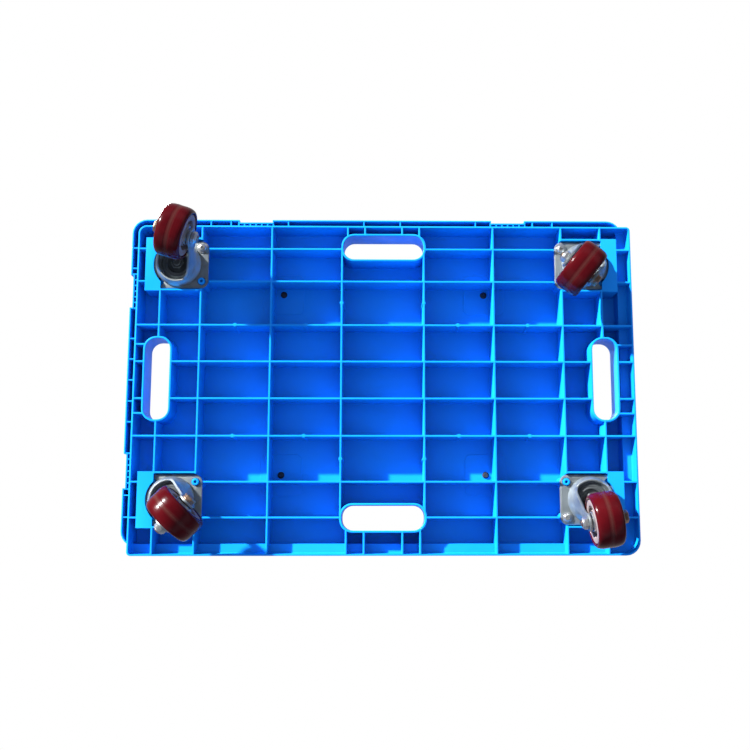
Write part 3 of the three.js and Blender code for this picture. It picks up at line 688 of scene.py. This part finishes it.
def tabs(bm):
    """The tab that holds down each plate's outer edge, cut back in an arc round the swivel."""
    for sx, sy, x, y in caster_spots():
        reach = HOUSING_HALF_WIDTH + RIB_EDGE
        start, end = TAB_START, HOUSING_END
        chord = math.degrees(math.acos(start / TAB_CUTOUT_RADIUS))
        angles = [math.radians(-chord + 2 * chord * i / 16) for i in range(17)]
        arc = [(TAB_CUTOUT_RADIUS * math.cos(a), TAB_CUTOUT_RADIUS * math.sin(a)) for a in angles]
        points = [(start, -reach)] + arc + [(start, reach), (end - 1.6, reach), (end - 0.5, reach - 0.5)]
        points += [(end, reach - 1.6), (end, 1.6 - reach), (end - 0.5, 0.5 - reach), (end - 1.6, -reach)]
        outline = [(x + sx * px, y + py) for px, py in points]
        if sx > 0:
            outline.reverse()
        add_prism(bm, outline, RIB_LEVEL - 0.001, TAB_TOP)


def pegs(bm):
    """The hollow locating peg through the plate hole on the side away from the screw."""
    for sx, sy, x, y in caster_spots():
        profile = [(4.3, 96), (4.2, 88), (3.9, 87.3), (3.3, 87), (2.2, 87), (1.7, 87.4), (1.6, 88), (1.6, 96)]
        before = len(bm.verts)
        add_turned(bm, profile + [profile[0]], 24)
        bm.verts.ensure_lookup_table()
        place = (x - sx * PLATE_HOLE_X, y - sy * PLATE_HOLE_Y, 0)
        bmesh.ops.translate(bm, vec=place, verts=bm.verts[before:])


def screw_bores(bm):
    for sx, sy, x, y in caster_spots():
        hole = circle(x - sx * PLATE_HOLE_X, y + sy * PLATE_HOLE_Y, SCREW_BORE_RADIUS, 16)
        add_prism(bm, hole, PLATE_TOP - 1, SCREW_BORE_TOP)


def lip_ribs(bm):
    """Small ribs that tie the lip's outer face to the deck's wall, closer together behind a recess."""
    half = LIP_RIB / 2
    front = (UPPER[2] + LIP_WALL - 0.5, LOWER[2] + 0.5)
    left = (UPPER[0] + LIP_WALL - 0.5, LOWER[0] + 0.5)

    def add(*box):
        add_prism(bm, rounded_box(*box, 0.2, 1), LIP_BOTTOM + 0.3, FLOOR + 1)

    def across_front(x):
        add(x - half, x + half, *front)

    def across_left(y):
        add(*left, y - half, y + half)

    for side in (-1, 1):
        for x in LIP_RIBS_X:
            across_front(side * x)
        for y in LIP_RIBS_Y:
            if y > 0 or side > 0:
                across_left(GRID_Y + side * y)
        for i in range(LIP_TEETH):
            along = (i / (LIP_TEETH - 1) - 0.5) * (LIP_RECESS_LENGTH + 1.5)
            across_front(side * LIP_RECESS_X + along)
            across_left(GRID_Y + side * LIP_RECESS_Y + along)


def lip_recess_boxes(grow, depth0, depth1, z0, z1):
    """A function that adds a block at each of the four recesses, between two depths and heights."""
    def add(bm):
        half = LIP_RECESS_LENGTH / 2 + grow
        for side in (-1, 1):
            x = side * LIP_RECESS_X
            y = GRID_Y + side * LIP_RECESS_Y
            for box in ((x - half, x + half, UPPER[2] + depth0, UPPER[2] + depth1),
                        (UPPER[0] + depth0, UPPER[0] + depth1, y - half, y + half)):
                add_prism(bm, rounded_box(*box, 0.6, 3), z0, z1)
    return add


def pad_centres():
    """Where each anti-slip pad lies, from its own CAD box, in deck millimetres."""
    centres = {}
    for corner in CORNERS:
        low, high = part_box(f"{corner}_grip_pad")
        middle = (low + high) / 2 / MM
        centres[corner] = (middle.x - DECK_X, middle.y - DECK_Y)
    return centres


def pad_seats(bm):
    size = PAD_SIZE + 2 * GAP
    for x, y in pad_centres().values():
        outline = centred_box(x, y, size, size, PAD_RADIUS + GAP)
        add_prism(bm, outline, DECK_TOP - PAD_SEAT, DECK_TOP + 2)


def pad_peg_holes(bm):
    for x, y in pad_centres().values():
        add_prism(bm, circle(x, y, PAD_PEG_RADIUS + GAP, 20), FLOOR - 2, DECK_TOP)


def pad_marks(bm):
    """A raised square under each pad: the floor steps down to keep its thickness below the seat."""
    for x, y in pad_centres().values():
        size = PAD_SIZE + 4
        levels = [(centred_box(x, y, size, size, PAD_RADIUS + 2), FLOOR - 0.5)]
        levels.append((centred_box(x, y, size + 1, size + 1, PAD_RADIUS + 2.5), FLOOR + 0.5))
        add_loft(bm, levels)


def ejector_bosses(bm):
    """Round thickenings where the mould's ejector pins push on the longer ribs."""
    spots = []
    for side_x, side_y, x in itertools.product((-1, 1), (-1, 1), EJECTORS_X):
        spots.append((side_x * x, GRID_Y + side_y * EJECTORS_Y))
    for x in RIBS_BETWEEN_HANDLES:
        spots += [(x, GRID_Y - EJECTORS_BY_HANDLE_Y), (x, GRID_Y + EJECTORS_BY_HANDLE_Y)]
    for x, y in spots:
        levels = [(-0.4, RIB_LEVEL), (0, RIB_LEVEL + 0.4), (0.6, FLOOR + 1)]
        add_stepped(bm, circle(x, y, EJECTOR_RADIUS, 20), levels)


def build_deck():
    hollow = join(shape("hollow", deck_hollow), ledge_hollow)
    ribs = join(shape("ribs", ribs_along_x), ribs_along_y)
    ribs = combine(ribs, rib_space(), "INTERSECT")
    deck = join(shape("deck_moulding", lower_body), upper_body)
    deck = combine(deck, hollow, "DIFFERENCE")
    deck = combine(deck, lip_hollow(), "DIFFERENCE")
    deck = combine(deck, ribs, "UNION")
    recesses = lip_recess_boxes(0, -2, LIP_RECESS_DEPTH, LIP_BOTTOM - 1, DECK_TOP + 1)
    recess_backs = lip_recess_boxes(1, LIP_RECESS_DEPTH, LIP_RECESS_DEPTH + 1.5, LIP_BOTTOM, DECK_TOP - 0.6)
    for work, step in (
            (join, pad_marks), (join, ejector_bosses), (join, lip_ribs), (cut, recesses),
            (join, recess_backs), (join, handle_walls), (cut, hand_holes), (join, plate_seats),
            (cut, plate_recesses), (join, tabs), (join, pegs), (cut, screw_bores), (cut, pad_seats),
            (cut, pad_peg_holes)):
        deck = work(deck, step)
    place = Matrix.Translation((DECK_X * MM, DECK_Y * MM, 0))
    finish_piece(deck, "deck", ["deck"], "deck_plastic", deck_plastic(), place)


def pad_sheet(bm):
    outline = centred_box(0, 0, PAD_SIZE, PAD_SIZE, PAD_RADIUS)
    add_prism(bm, outline, DECK_TOP - PAD_SEAT + GAP, DECK_TOP + PAD_PROUD - 0.45, 0.35)


def pad_ridges(bm):
    """Parallel ridges, shorter towards the pad's rounded ends."""
    inner = PAD_SIZE - 2 * PAD_RIDGE_MARGIN
    for i in range(PAD_RIDGES):
        at = (i / (PAD_RIDGES - 1) - 0.5) * inner
        length = inner - 2 * max(0.0, abs(at) - inner / 2 + PAD_RIDGE_MARGIN)
        add_prism(bm, centred_box(at, 0, 1.9, length, 0.9, 4), DECK_TOP - 0.5, DECK_TOP + PAD_PROUD, 0.4)


def pad_peg(bm):
    low = FLOOR - 3
    stem = PAD_PEG_RADIUS
    profile = [(0, low), (2.4, low), (stem, low + 0.6), (4.2, FLOOR - GAP), (3.9, FLOOR - 0.1)]
    profile += [(stem, FLOOR - 0.1), (stem, DECK_TOP), (0, DECK_TOP)]
    add_turned(bm, profile, 24)


def build_pads():
    """Anti-slip pads with a ribbed face, each held by a barbed peg pushed through the deck."""
    rubber = pad_rubber()
    for corner, (x, y) in pad_centres().items():
        pad = join(join(shape(f"{corner}_ribbed_pad", pad_sheet), pad_ridges), pad_peg)
        place = Matrix.Translation(((x + DECK_X) * MM, (y + DECK_Y) * MM, 0))
        finish_piece(pad, "deck", [f"{corner}_grip_pad"], "pad_rubber", rubber, place)


# ---- casters ----

CROWN_RADIUS = 27.0
CROWN_TOP = 85.0
CROWN_RIM_TOP = 88.6
CUP_RIM = 77.6
CUP_RADIUS = 23.4
SHEET = 2.5
FORK_HALF_GAP = 17.0
EYE_RADIUS = 10.0
LEG_TOP = CUP_RIM + 3
LEG_TOP_HALF = 17.5
LEG_FLAT_BELOW = 56
LEG_ROWS = 22
LEG_COLUMNS = 14
KINGPIN_RADIUS = 5.0
AXLE_RADIUS = 3.9
BEARING_RADIUS = 11.0
BEARING_INNER_FACE = 8.5
BEARING_OUTER_FACE = 15.2
NUT_FLATS = 13.0
KINGPIN_NUT_FLATS = 14.0
CROSS_LENGTH = 4.6
CROSS_WIDTH = 1.1
SCREW_TURN = math.radians(25)
BALL_CIRCLE_RADIUS = 20.5
BALL_RADIUS = 2.0
BALL_COUNT = 16
BALL_LEVEL = 87.25


class Caster:
    """One corner's caster: where it stands, which way it points and how high its axle is."""

    def __init__(self, corner):
        self.corner = corner
        self.sx, self.sy = CORNERS[corner]
        swivel = Vector(joints[f"{corner}_swivel"]["pos_m"])
        axle = Vector(joints[f"{corner}_roll"]["pos_m"])
        trail = axle - swivel
        heading = math.atan2(trail.y, trail.x)
        self.trail = Vector((trail.x, trail.y)).length / MM
        self.wheel_radius = axle.z / MM
        fixed = Matrix.Translation((swivel.x, swivel.y, 0))
        turning = fixed @ Matrix.Rotation(heading, 4, "Z")
        rolling = turning @ Matrix.Translation((self.trail * MM, 0, axle.z))
        self.parts = {"fixed": ("deck", fixed), "turning": (f"{corner}_caster", turning),
                      "rolling": (f"{corner}_wheel", rolling)}

    def shape(self, name, step):
        return shape(f"{self.corner}_{name}", step)

    def turned(self, name, profile, steps, axis="Z"):
        return self.shape(name, lambda bm: add_turned(bm, profile, steps, axis))

    def about_axle(self, piece):
        """Turns a piece made along Z so that it lies along the axle, in the turning frame."""
        turn = Matrix.Rotation(math.radians(-90), 4, "X")
        piece.data.transform(Matrix.Translation((self.trail, 0, self.wheel_radius)) @ turn)
        return piece

    def finish(self, piece, part, node, look, sharp=SHARP):
        body, place = self.parts[part]
        finish_piece(piece, body, [f"{self.corner}_{node}"], *look, place, sharp)


def add_hexagon(bm, flats, z0, z1, chamfer=0.7):
    """A hexagonal prism whose corners are turned off at both ends by a round chamfer."""
    outline = soften(circle(0, 0, flats / math.sqrt(3), 6), 0.35, 2, closed=True)
    limit = flats / 2 + 0.05
    inner = [tuple(Vector(point).normalized() * min(Vector(point).length, limit)) for point in outline]
    middle = [tuple(Vector(a) * 0.5 + Vector(b) * 0.5) for a, b in zip(outline, inner)]
    levels = [(inner, z0), (middle, z0 + chamfer * 0.35), (outline, z0 + chamfer)]
    levels += [(outline, z1 - chamfer), (middle, z1 - chamfer * 0.35), (inner, z1)]
    add_loft(bm, levels)


def plate_piece(caster):
    def sheet(bm):
        outline = centred_box(0, 0, PLATE_LENGTH, PLATE_WIDTH, PLATE_RADIUS, 10)
        add_prism(bm, outline, PLATE_BOTTOM, PLATE_TOP, 0.4)

    def dish(bm):
        profile = [(5.4, 86.3), (14.5, 86.3), (17.5, 89.2), (18.6, 89.3), (18.6, 91.8), (16.6, 91.8)]
        profile += [(13.6, 88.8), (5.4, 88.8)]
        add_turned(bm, soft_ring(profile, 0.8), 48)

    def fixing_holes(bm):
        for side in (-1, 1):
            y = side * PLATE_HOLE_Y
            inner = circle(-caster.sx * PLATE_HOLE_X, y, PLATE_HOLE_RADIUS, 28)
            slot_x = caster.sx * (PLATE_HOLE_X - PLATE_SLOT_LENGTH / 2)
            width = 2 * PLATE_HOLE_RADIUS
            slot = centred_box(slot_x, y, width + PLATE_SLOT_LENGTH, width, PLATE_HOLE_RADIUS - 0.01, 10)
            levels = [(0.5, PLATE_BOTTOM - 0.2), (0.3, PLATE_BOTTOM + 0.15)]
            levels += [(0, PLATE_BOTTOM + 0.5), (0, PLATE_TOP + 1)]
            for outline in (inner, slot):
                add_stepped(bm, outline, levels)

    hole = circle(0, 0, PLATE_CENTRE_RADIUS, 48)
    plate = caster.shape("mounting_plate", sheet)
    plate = join(cut(plate, lambda bm: add_prism(bm, hole, PLATE_BOTTOM - 1, PLATE_TOP + 1)), dish)
    return cut(plate, fixing_holes)


def kingpin_piece(caster):
    profile = [(0, 75.6), (3.4, 75.7), (4.4, 76.2), (KINGPIN_RADIUS, 77.2), (KINGPIN_RADIUS, 89.1), (9, 89.1),
               (9, 91), (7.5, 91.6), (0, 91.6)]
    return caster.turned("kingpin_turned", soften(profile, 0.4), 40)


def kingpin_nut_piece(caster):
    hole = circle(0, 0, KINGPIN_RADIUS + GAP, 32)
    nut = caster.shape("kingpin_hex_nut", lambda bm: add_hexagon(bm, KINGPIN_NUT_FLATS, 77.6, 82.0))
    return cut(nut, lambda bm: add_stepped(bm, hole, [(0.6, 76), (0, 78.2), (0, 84)]))


def screw_piece(caster):
    """A cross-recessed pan head over a flat washer."""
    profile = [(0, 85.5), (2.4, 85.6), (3.9, 86.3), (4.7, 87.4), (4.8, 88), (6.3, 88)]
    profile += [(6.3, PLATE_BOTTOM - GAP), (2.3, PLATE_BOTTOM - GAP), (2.3, 107), (0, 109)]

    screw = caster.turned("pan_head_screw", soften(profile, 0.35), 36)
    for length, width in ((CROSS_LENGTH, CROSS_WIDTH), (CROSS_WIDTH, CROSS_LENGTH)):
        slit = centred_box(0, 0, length, width, 0.3, 2)
        screw = cut(screw, lambda bm: add_prism(bm, slit, 84, 86.9))
    spot = Matrix.Translation((-caster.sx * PLATE_HOLE_X, caster.sy * PLATE_HOLE_Y, 0))
    screw.data.transform(spot @ Matrix.Rotation(SCREW_TURN, 4, "Z"))
    return screw


def smooth_step(t):
    t = min(max(t, 0.0), 1.0)
    return t * t * (3 - 2 * t)


def leg_reach(caster, z):
    """How far back and how far forward the leg reaches at a height, in the caster's own frame."""
    axle = caster.wheel_radius
    if z <= axle:
        half = math.sqrt(max(EYE_RADIUS ** 2 - (axle - z) ** 2, 0.16))
        return caster.trail - half, caster.trail + half
    rise = (z - axle) / (LEG_TOP - axle)
    back = caster.trail - EYE_RADIUS
    front = caster.trail + EYE_RADIUS
    back += (-LEG_TOP_HALF - back) * smooth_step(rise) ** 1.25
    front += (LEG_TOP_HALF - front) * smooth_step(rise * 1.08)
    return back, front


def leg_outside(x, z):
    """The leg's outer face: round like the crown's rim at the top, and flat beside the wheel."""
    flat = FORK_HALF_GAP + SHEET
    round_side = math.sqrt(max(CUP_RADIUS ** 2 - x ** 2, 25.0))
    share = smooth_step((z - LEG_FLAT_BELOW) / (LEG_TOP - 1 - LEG_FLAT_BELOW))
    return flat + (round_side - flat) * share


def fork_leg(caster, side):
    """One pressed leg as a thick curved sheet, from inside the crown's rim down to the axle's eye."""
    axle = caster.wheel_radius
    heights = [LEG_TOP + (axle - LEG_TOP) * i / LEG_ROWS for i in range(LEG_ROWS)]
    heights += [axle - EYE_RADIUS * math.sin(math.radians(11 * i)) for i in range(9)]
    bm = bmesh.new()
    faces = []
    for inward in (0.0, SHEET):
        rows = []
        for z in heights:
            back, front = leg_reach(caster, z)
            places = [back + (front - back) * i / LEG_COLUMNS for i in range(LEG_COLUMNS + 1)]
            rows.append([bm.verts.new((x, side * (leg_outside(x, z) - inward), z)) for x in places])
        faces.append(rows)
    outer, inner = faces
    last = len(heights) - 1
    for rows, r, c in itertools.product(faces, range(last), range(LEG_COLUMNS)):
        bm.faces.new((rows[r][c], rows[r][c + 1], rows[r + 1][c + 1], rows[r + 1][c]))
    for r, c in itertools.product(range(last), (0, LEG_COLUMNS)):
        bm.faces.new((outer[r][c], outer[r + 1][c], inner[r + 1][c], inner[r][c]))
    for c, r in itertools.product(range(LEG_COLUMNS), (0, last)):
        bm.faces.new((outer[r][c], outer[r][c + 1], inner[r][c + 1], inner[r][c]))
    bmesh.ops.recalc_face_normals(bm, faces=bm.faces)
    border = [edge for edge in bm.edges if len(edge.link_faces) == 2 and edge.calc_face_angle(0) > 1.0
              and min(vert.co.z for vert in edge.verts) < LEG_TOP - 1]
    bmesh.ops.bevel(bm, geom=border, offset=0.55, segments=2, profile=0.5, affect="EDGES", clamp_overlap=True)
    return piece_from(bm, f"{caster.corner}_leg")


def fork_piece(caster):
    """A pressed fork: a cup round the swivel, open to the wheel, and two legs that grow out of its rim."""
    rings = [(6.0, 83.3), (11.0, 83.3), (11.8, 81.0), (13.4, 80.7), (14.6, 81.3), (16.0, 80.8), (17.4, 81.4)]
    rim = [(19.0, 83.2), (20.6, 81.8), (21.3, CUP_RIM), (CUP_RADIUS, CUP_RIM), (24.2, 81.0), (26.4, 85.4)]
    top = [(CROWN_RADIUS, 87.2), (CROWN_RADIUS, CROWN_RIM_TOP), (25.4, CROWN_RIM_TOP), (24.9, CROWN_TOP)]
    cup = rings + rim + top + [(6.0, CROWN_TOP)]
    fork = caster.turned("pressed_fork", soft_ring(cup, 0.7), 72)
    for side in (-1, 1):
        fork = combine(fork, fork_leg(caster, side), "UNION")

    def axle_hole(bm):
        profile = [(0, -30), (AXLE_RADIUS + GAP, -30), (AXLE_RADIUS + GAP, 30), (0, 30)]
        add_turned(bm, profile, 32, axis="Y")
        bmesh.ops.translate(bm, vec=(caster.trail, 0, caster.wheel_radius), verts=bm.verts)

    return cut(fork, axle_hole)


def balls_piece(caster):
    """The ring of swivel balls in its cage."""
    def add_all(bm):
        for x, y in circle(0, 0, BALL_CIRCLE_RADIUS, BALL_COUNT):
            place = Matrix.Translation((x, y, BALL_LEVEL))
            bmesh.ops.create_icosphere(bm, subdivisions=2, radius=BALL_RADIUS, matrix=place)

    def cage(bm):
        profile = [(19.6, 86.7), (21.4, 86.7), (21.4, 87.8), (19.6, 87.8)]
        add_turned(bm, soft_ring(profile, 0.25), 64)

    return join(caster.shape("caged_balls", add_all), cage)


def bolt_piece(caster):
    """A hexagon head on the local -Y side, with its shank through to the nut."""
    outside = FORK_HALF_GAP + SHEET + GAP
    end = outside + 7.7
    shank = [(0, -outside - 1), (AXLE_RADIUS, -outside - 1), (AXLE_RADIUS, end - 0.9)]
    shank += [(AXLE_RADIUS - 0.9, end), (0, end)]
    bore = AXLE_RADIUS - 0.2
    washer = [(bore, -outside - 1.1), (7.8, -outside - 1.1), (7.8, -outside), (bore, -outside)]
    head = (-outside - 5.3, -outside - 0.9)
    dimple = [(0, -outside - 6), (4.6, -outside - 6), (4.0, -outside - 4.9), (0, -outside - 4.9)]
    bolt = caster.shape("hex_bolt", lambda bm: add_hexagon(bm, NUT_FLATS, *head, 0.9))
    bolt = join(bolt, lambda bm: add_turned(bm, shank, 32))
    bolt = join(bolt, lambda bm: add_turned(bm, soft_ring(washer, 0.3), 40))
    bolt = cut(bolt, lambda bm: add_turned(bm, dimple, 32))
    return caster.about_axle(bolt)


def nut_piece(caster):
    """A lock nut: a hexagon with a round collar at its outer end."""
    outside = FORK_HALF_GAP + SHEET + GAP
    collar = [(AXLE_RADIUS + GAP, outside + 4.2), (6.2, outside + 4.2), (6.0, outside + 5.6)]
    collar += [(5.3, outside + 6.5), (AXLE_RADIUS + GAP, outside + 6.5)]
    nut = caster.shape("lock_nut", lambda bm: add_hexagon(bm, NUT_FLATS, outside, outside + 4.9, 0.8))
    nut = join(nut, lambda bm: add_turned(bm, soft_ring(collar, 0.4), 40))
    hole = circle(0, 0, AXLE_RADIUS + GAP, 32)
    nut = cut(nut, lambda bm: add_prism(bm, hole, outside - 1, outside + 8))
    return caster.about_axle(nut)


def spacer_piece(caster):
    reach = BEARING_INNER_FACE - GAP
    profile = [(AXLE_RADIUS + GAP, -reach), (6.5, -reach), (6.5, reach), (AXLE_RADIUS + GAP, reach)]
    return caster.about_axle(caster.turned("spacer_tube", soft_ring(profile, 0.4), 36))


def mirrored(half):
    """A closed profile of (radius, across) points from its positive half, given from the bore outwards."""
    return half + [(radius, -across) for radius, across in reversed(half)]


def tread_piece(caster):
    outer = caster.wheel_radius
    side = [(24.8, 14.2), (25.6, 15.0), (26.8, 15.3)]
    shoulder = [(outer - 3.1, 14.9), (outer - 2.0, 13.9), (outer - 1.1, 12.2), (outer - 0.45, 9.8)]
    band = [(outer - 0.1, 6.8), (outer, 4.0), (outer - 0.05, 2.9), (outer - 0.16, 2.5), (outer - 0.16, 0.8)]
    half = side + shoulder + band
    return caster.turned("moulded_tread", soft_ring(mirrored(half), 0.8, 4), 96, "Y")


def core_piece(caster):
    seat = BEARING_RADIUS + GAP
    hub = [(8, 8.2), (seat, 8.2), (seat, 12.8), (12.2, 13.6), (13.0, 12.4), (13.4, 8.6), (16.6, 8.4)]
    rim = [(17.4, 13.6), (18.2, 14.3), (22.2, 14.6), (22.5, 14.3), (23.0, 14.3), (23.3, 14.5)]
    half = hub + rim + [(24.2, 14.3), (24.4, 13.4)]
    return caster.turned("wheel_centre", soft_ring(mirrored(half), 0.35, 2), 80, "Y")


def bearing_piece(caster, side, letter):
    """A ball bearing: outer ring, sunk shield and inner ring, as one turned piece."""
    inner, outer = AXLE_RADIUS + GAP, BEARING_RADIUS
    face, back = BEARING_OUTER_FACE, BEARING_INNER_FACE
    profile = [(inner, back), (outer, back), (outer, face), (9.4, face), (9.2, face - 0.7), (6.4, face - 0.7),
               (6.2, face), (inner, face)]
    profile = [(radius, side * across) for radius, across in soft_ring(profile, 0.25, 2)]
    return caster.turned(f"ball_bearing_{letter}", profile, 48, "Y")


def build_casters():
    zinc, bright = ("zinc_steel", zinc_steel()), ("bright_steel", bright_steel())
    brass = ("bright_steel", gold_zinc())
    tread, core = ("wheel_tread", wheel_tread()), ("wheel_core", wheel_core())
    table = (
        (plate_piece, "fixed", "caster_plate", zinc),
        (kingpin_piece, "fixed", "kingpin", zinc),
        (kingpin_nut_piece, "fixed", "kingpin_nut", zinc),
        (screw_piece, "fixed", "mounting_screw", bright),
        (fork_piece, "turning", "fork", zinc, 40),
        (balls_piece, "turning", "swivel_balls", bright),
        (bolt_piece, "turning", "axle_bolt", brass),
        (nut_piece, "turning", "axle_nut", bright),
        (spacer_piece, "turning", "bearing_spacer", zinc),
        (tread_piece, "rolling", "tread", tread, 50),
        (core_piece, "rolling", "wheel_core", core),
        (lambda caster: bearing_piece(caster, -1, "a"), "rolling", "wheel_bearing_a", bright),
        (lambda caster: bearing_piece(caster, 1, "b"), "rolling", "wheel_bearing_b", bright),
    )
    for corner in CORNERS:
        caster = Caster(corner)
        for make, *details in table:
            caster.finish(make(caster), *details)


# ---- stage, lights and camera ----

# The camera looks up at the underside, held a little towards the rear: its place in millimetres from
# the middle of the rib grid at floor level, and its turn in degrees
CAMERA_PLACE = (4.447, 174.154, -1073.294)
CAMERA_TURN = (188.539, 0.841, 0.029)
CAMERA_LENS = 47.75
CAMERA_SENSOR = 36
CAMERA_SHIFT = (-0.0333, 0.0067)

# The sun of the photograph: low under the deck, from the picture's upper left
SUN_BEARING = math.radians(37)
SUN_RISE = math.radians(26)
SUN_STRENGTH = 17.0
SUN_ANGLE = 2.0
GLINT_STRENGTH = 6.0
GLINT_ANGLE = 7.0
# A weaker light for the views from above, and the way its rays travel
UPPER_SUN_STRENGTH = 2.2
UPPER_SUN_ANGLE = 12.0
UPPER_SUN_TRAVEL = (0.35, 0.45, -0.82)
SKY_COLOUR = (0.52, 0.60, 0.86, 1)
SKY_STRENGTH = 1.08
STUDIO_FLOOR_SIZE = 14
STUDIO_FLOOR_COLOUR = (0.86, 0.86, 0.86, 1)
STUDIO_FLOOR_ROUGHNESS = 0.8
# How strongly a noise shifts what metal mirrors up or down
PATCHINESS = 0.5
# What metal mirrors, from straight below to straight above: dim, then a bright band, then mid grey
REFLECTED_SKY = (
    (0.0, (0.03, 0.035, 0.045, 1)),
    (0.12, (0.05, 0.06, 0.08, 1)),
    (0.22, (0.34, 0.37, 0.41, 1)),
    (0.34, (0.24, 0.27, 0.31, 1)),
    (0.44, (0.05, 0.06, 0.08, 1)),
    (0.62, (0.12, 0.14, 0.17, 1)),
    (1.0, (0.6, 0.6, 0.62, 1)),
)


def build_floor():
    """A pale floor under the wheels, seen only from above so that the underside stays in view."""
    bpy.ops.mesh.primitive_plane_add(size=STUDIO_FLOOR_SIZE, location=(0, 0, 0))
    floor = bpy.context.active_object
    floor.name = "studio_floor"
    material = bpy.data.materials.new("studio_floor")
    material.use_nodes = True
    tree = material.node_tree
    pale = tree.nodes["Principled BSDF"]
    pale.inputs["Base Color"].default_value = STUDIO_FLOOR_COLOUR
    pale.inputs["Roughness"].default_value = STUDIO_FLOOR_ROUGHNESS
    seen_from_below = add_node(tree, "NewGeometry").outputs["Backfacing"]
    clear = add_node(tree, "BsdfTransparent").outputs["BSDF"]
    mix = add_node(tree, "MixShader", {"Fac": seen_from_below, 1: pale.outputs["BSDF"], 2: clear})
    tree.links.new(mix.outputs["Shader"], tree.nodes["Material Output"].inputs["Surface"])
    floor.data.materials.append(material)
    floor.visible_shadow = floor.visible_diffuse = floor.visible_glossy = False


def reflected_sky(tree):
    """What metal mirrors: REFLECTED_SKY by height, blurred into patches by a noise."""
    direction = add_node(tree, "TexCoord").outputs["Generated"]
    up = add_node(tree, "SeparateXYZ", {"Vector": direction}).outputs["Z"]
    noise = add_node(tree, "TexNoise", {"Vector": direction, "Scale": 3.0, "Detail": 1.0}).outputs["Fac"]
    height = add_node(tree, "Math", {0: noise, 1: PATCHINESS, 2: up}, operation="MULTIPLY_ADD")
    limits = {"From Min": PATCHINESS / 2 - 1, "From Max": PATCHINESS / 2 + 1}
    level = add_node(tree, "MapRange", {"Value": height.outputs["Value"], **limits}).outputs["Result"]
    ramp = add_node(tree, "ValToRGB", {"Fac": level})
    stops = ramp.color_ramp.elements
    for stop, (position, colour) in zip(stops, (REFLECTED_SKY[0], REFLECTED_SKY[-1])):
        stop.position, stop.color = position, colour
    for position, colour in REFLECTED_SKY[1:-1]:
        stops.new(position).color = colour
    return add_node(tree, "Background", {"Color": ramp.outputs["Color"]}).outputs["Background"]


def build_world():
    """White behind the part; a soft blue sky for the light and a patchy one for the reflections."""
    world = bpy.data.worlds.new("studio_world")
    bpy.context.scene.world = world
    world.use_nodes = True
    tree = world.node_tree
    ray = add_node(tree, "LightPath").outputs
    sky = tree.nodes["Background"]
    sky.inputs["Color"].default_value = SKY_COLOUR
    sky.inputs["Strength"].default_value = SKY_STRENGTH
    lights = {"Fac": ray["Is Glossy Ray"], 1: sky.outputs["Background"], 2: reflected_sky(tree)}
    unseen = add_node(tree, "MixShader", lights).outputs["Shader"]
    white = add_node(tree, "Background", {"Color": (1, 1, 1, 1)}).outputs["Background"]
    backdrop = add_node(tree, "MixShader", {"Fac": ray["Is Camera Ray"], 1: unseen, 2: white})
    tree.links.new(backdrop.outputs["Shader"], tree.nodes["World Output"].inputs["Surface"])


def add_sun(name, direction, strength, angle, glossy=True, diffuse=True):
    data = bpy.data.lights.new(name, "SUN")
    data.energy = strength
    data.angle = math.radians(angle)
    light = bpy.data.objects.new(name, data)
    bpy.context.scene.collection.objects.link(light)
    light.rotation_mode = "QUATERNION"
    light.rotation_quaternion = direction.to_track_quat("-Z", "Y")
    light.visible_glossy = glossy
    light.visible_diffuse = diffuse


def build_lights():
    flat = math.cos(SUN_RISE)
    travel = Vector((math.cos(SUN_BEARING) * flat, math.sin(SUN_BEARING) * flat, math.sin(SUN_RISE)))
    add_sun("sun_from_below", travel, SUN_STRENGTH, SUN_ANGLE, glossy=False)
    add_sun("sun_glint", travel, GLINT_STRENGTH, GLINT_ANGLE, diffuse=False)
    add_sun("sun_from_above", Vector(UPPER_SUN_TRAVEL), UPPER_SUN_STRENGTH, UPPER_SUN_ANGLE)


def build_camera():
    data = bpy.data.cameras.new("photograph_camera")
    data.sensor_width = CAMERA_SENSOR
    data.lens = CAMERA_LENS
    data.shift_x, data.shift_y = CAMERA_SHIFT
    camera = bpy.data.objects.new("photograph_camera", data)
    bpy.context.scene.collection.objects.link(camera)
    camera.location = (Vector((DECK_X, DECK_Y + GRID_Y, 0)) + Vector(CAMERA_PLACE)) * MM
    camera.rotation_euler = [math.radians(angle) for angle in CAMERA_TURN]
    bpy.context.scene.camera = camera


build_deck()
build_pads()
build_casters()
build_floor()
build_world()
build_lights()
build_camera()
bpy.context.scene.view_settings.view_transform = "Standard"
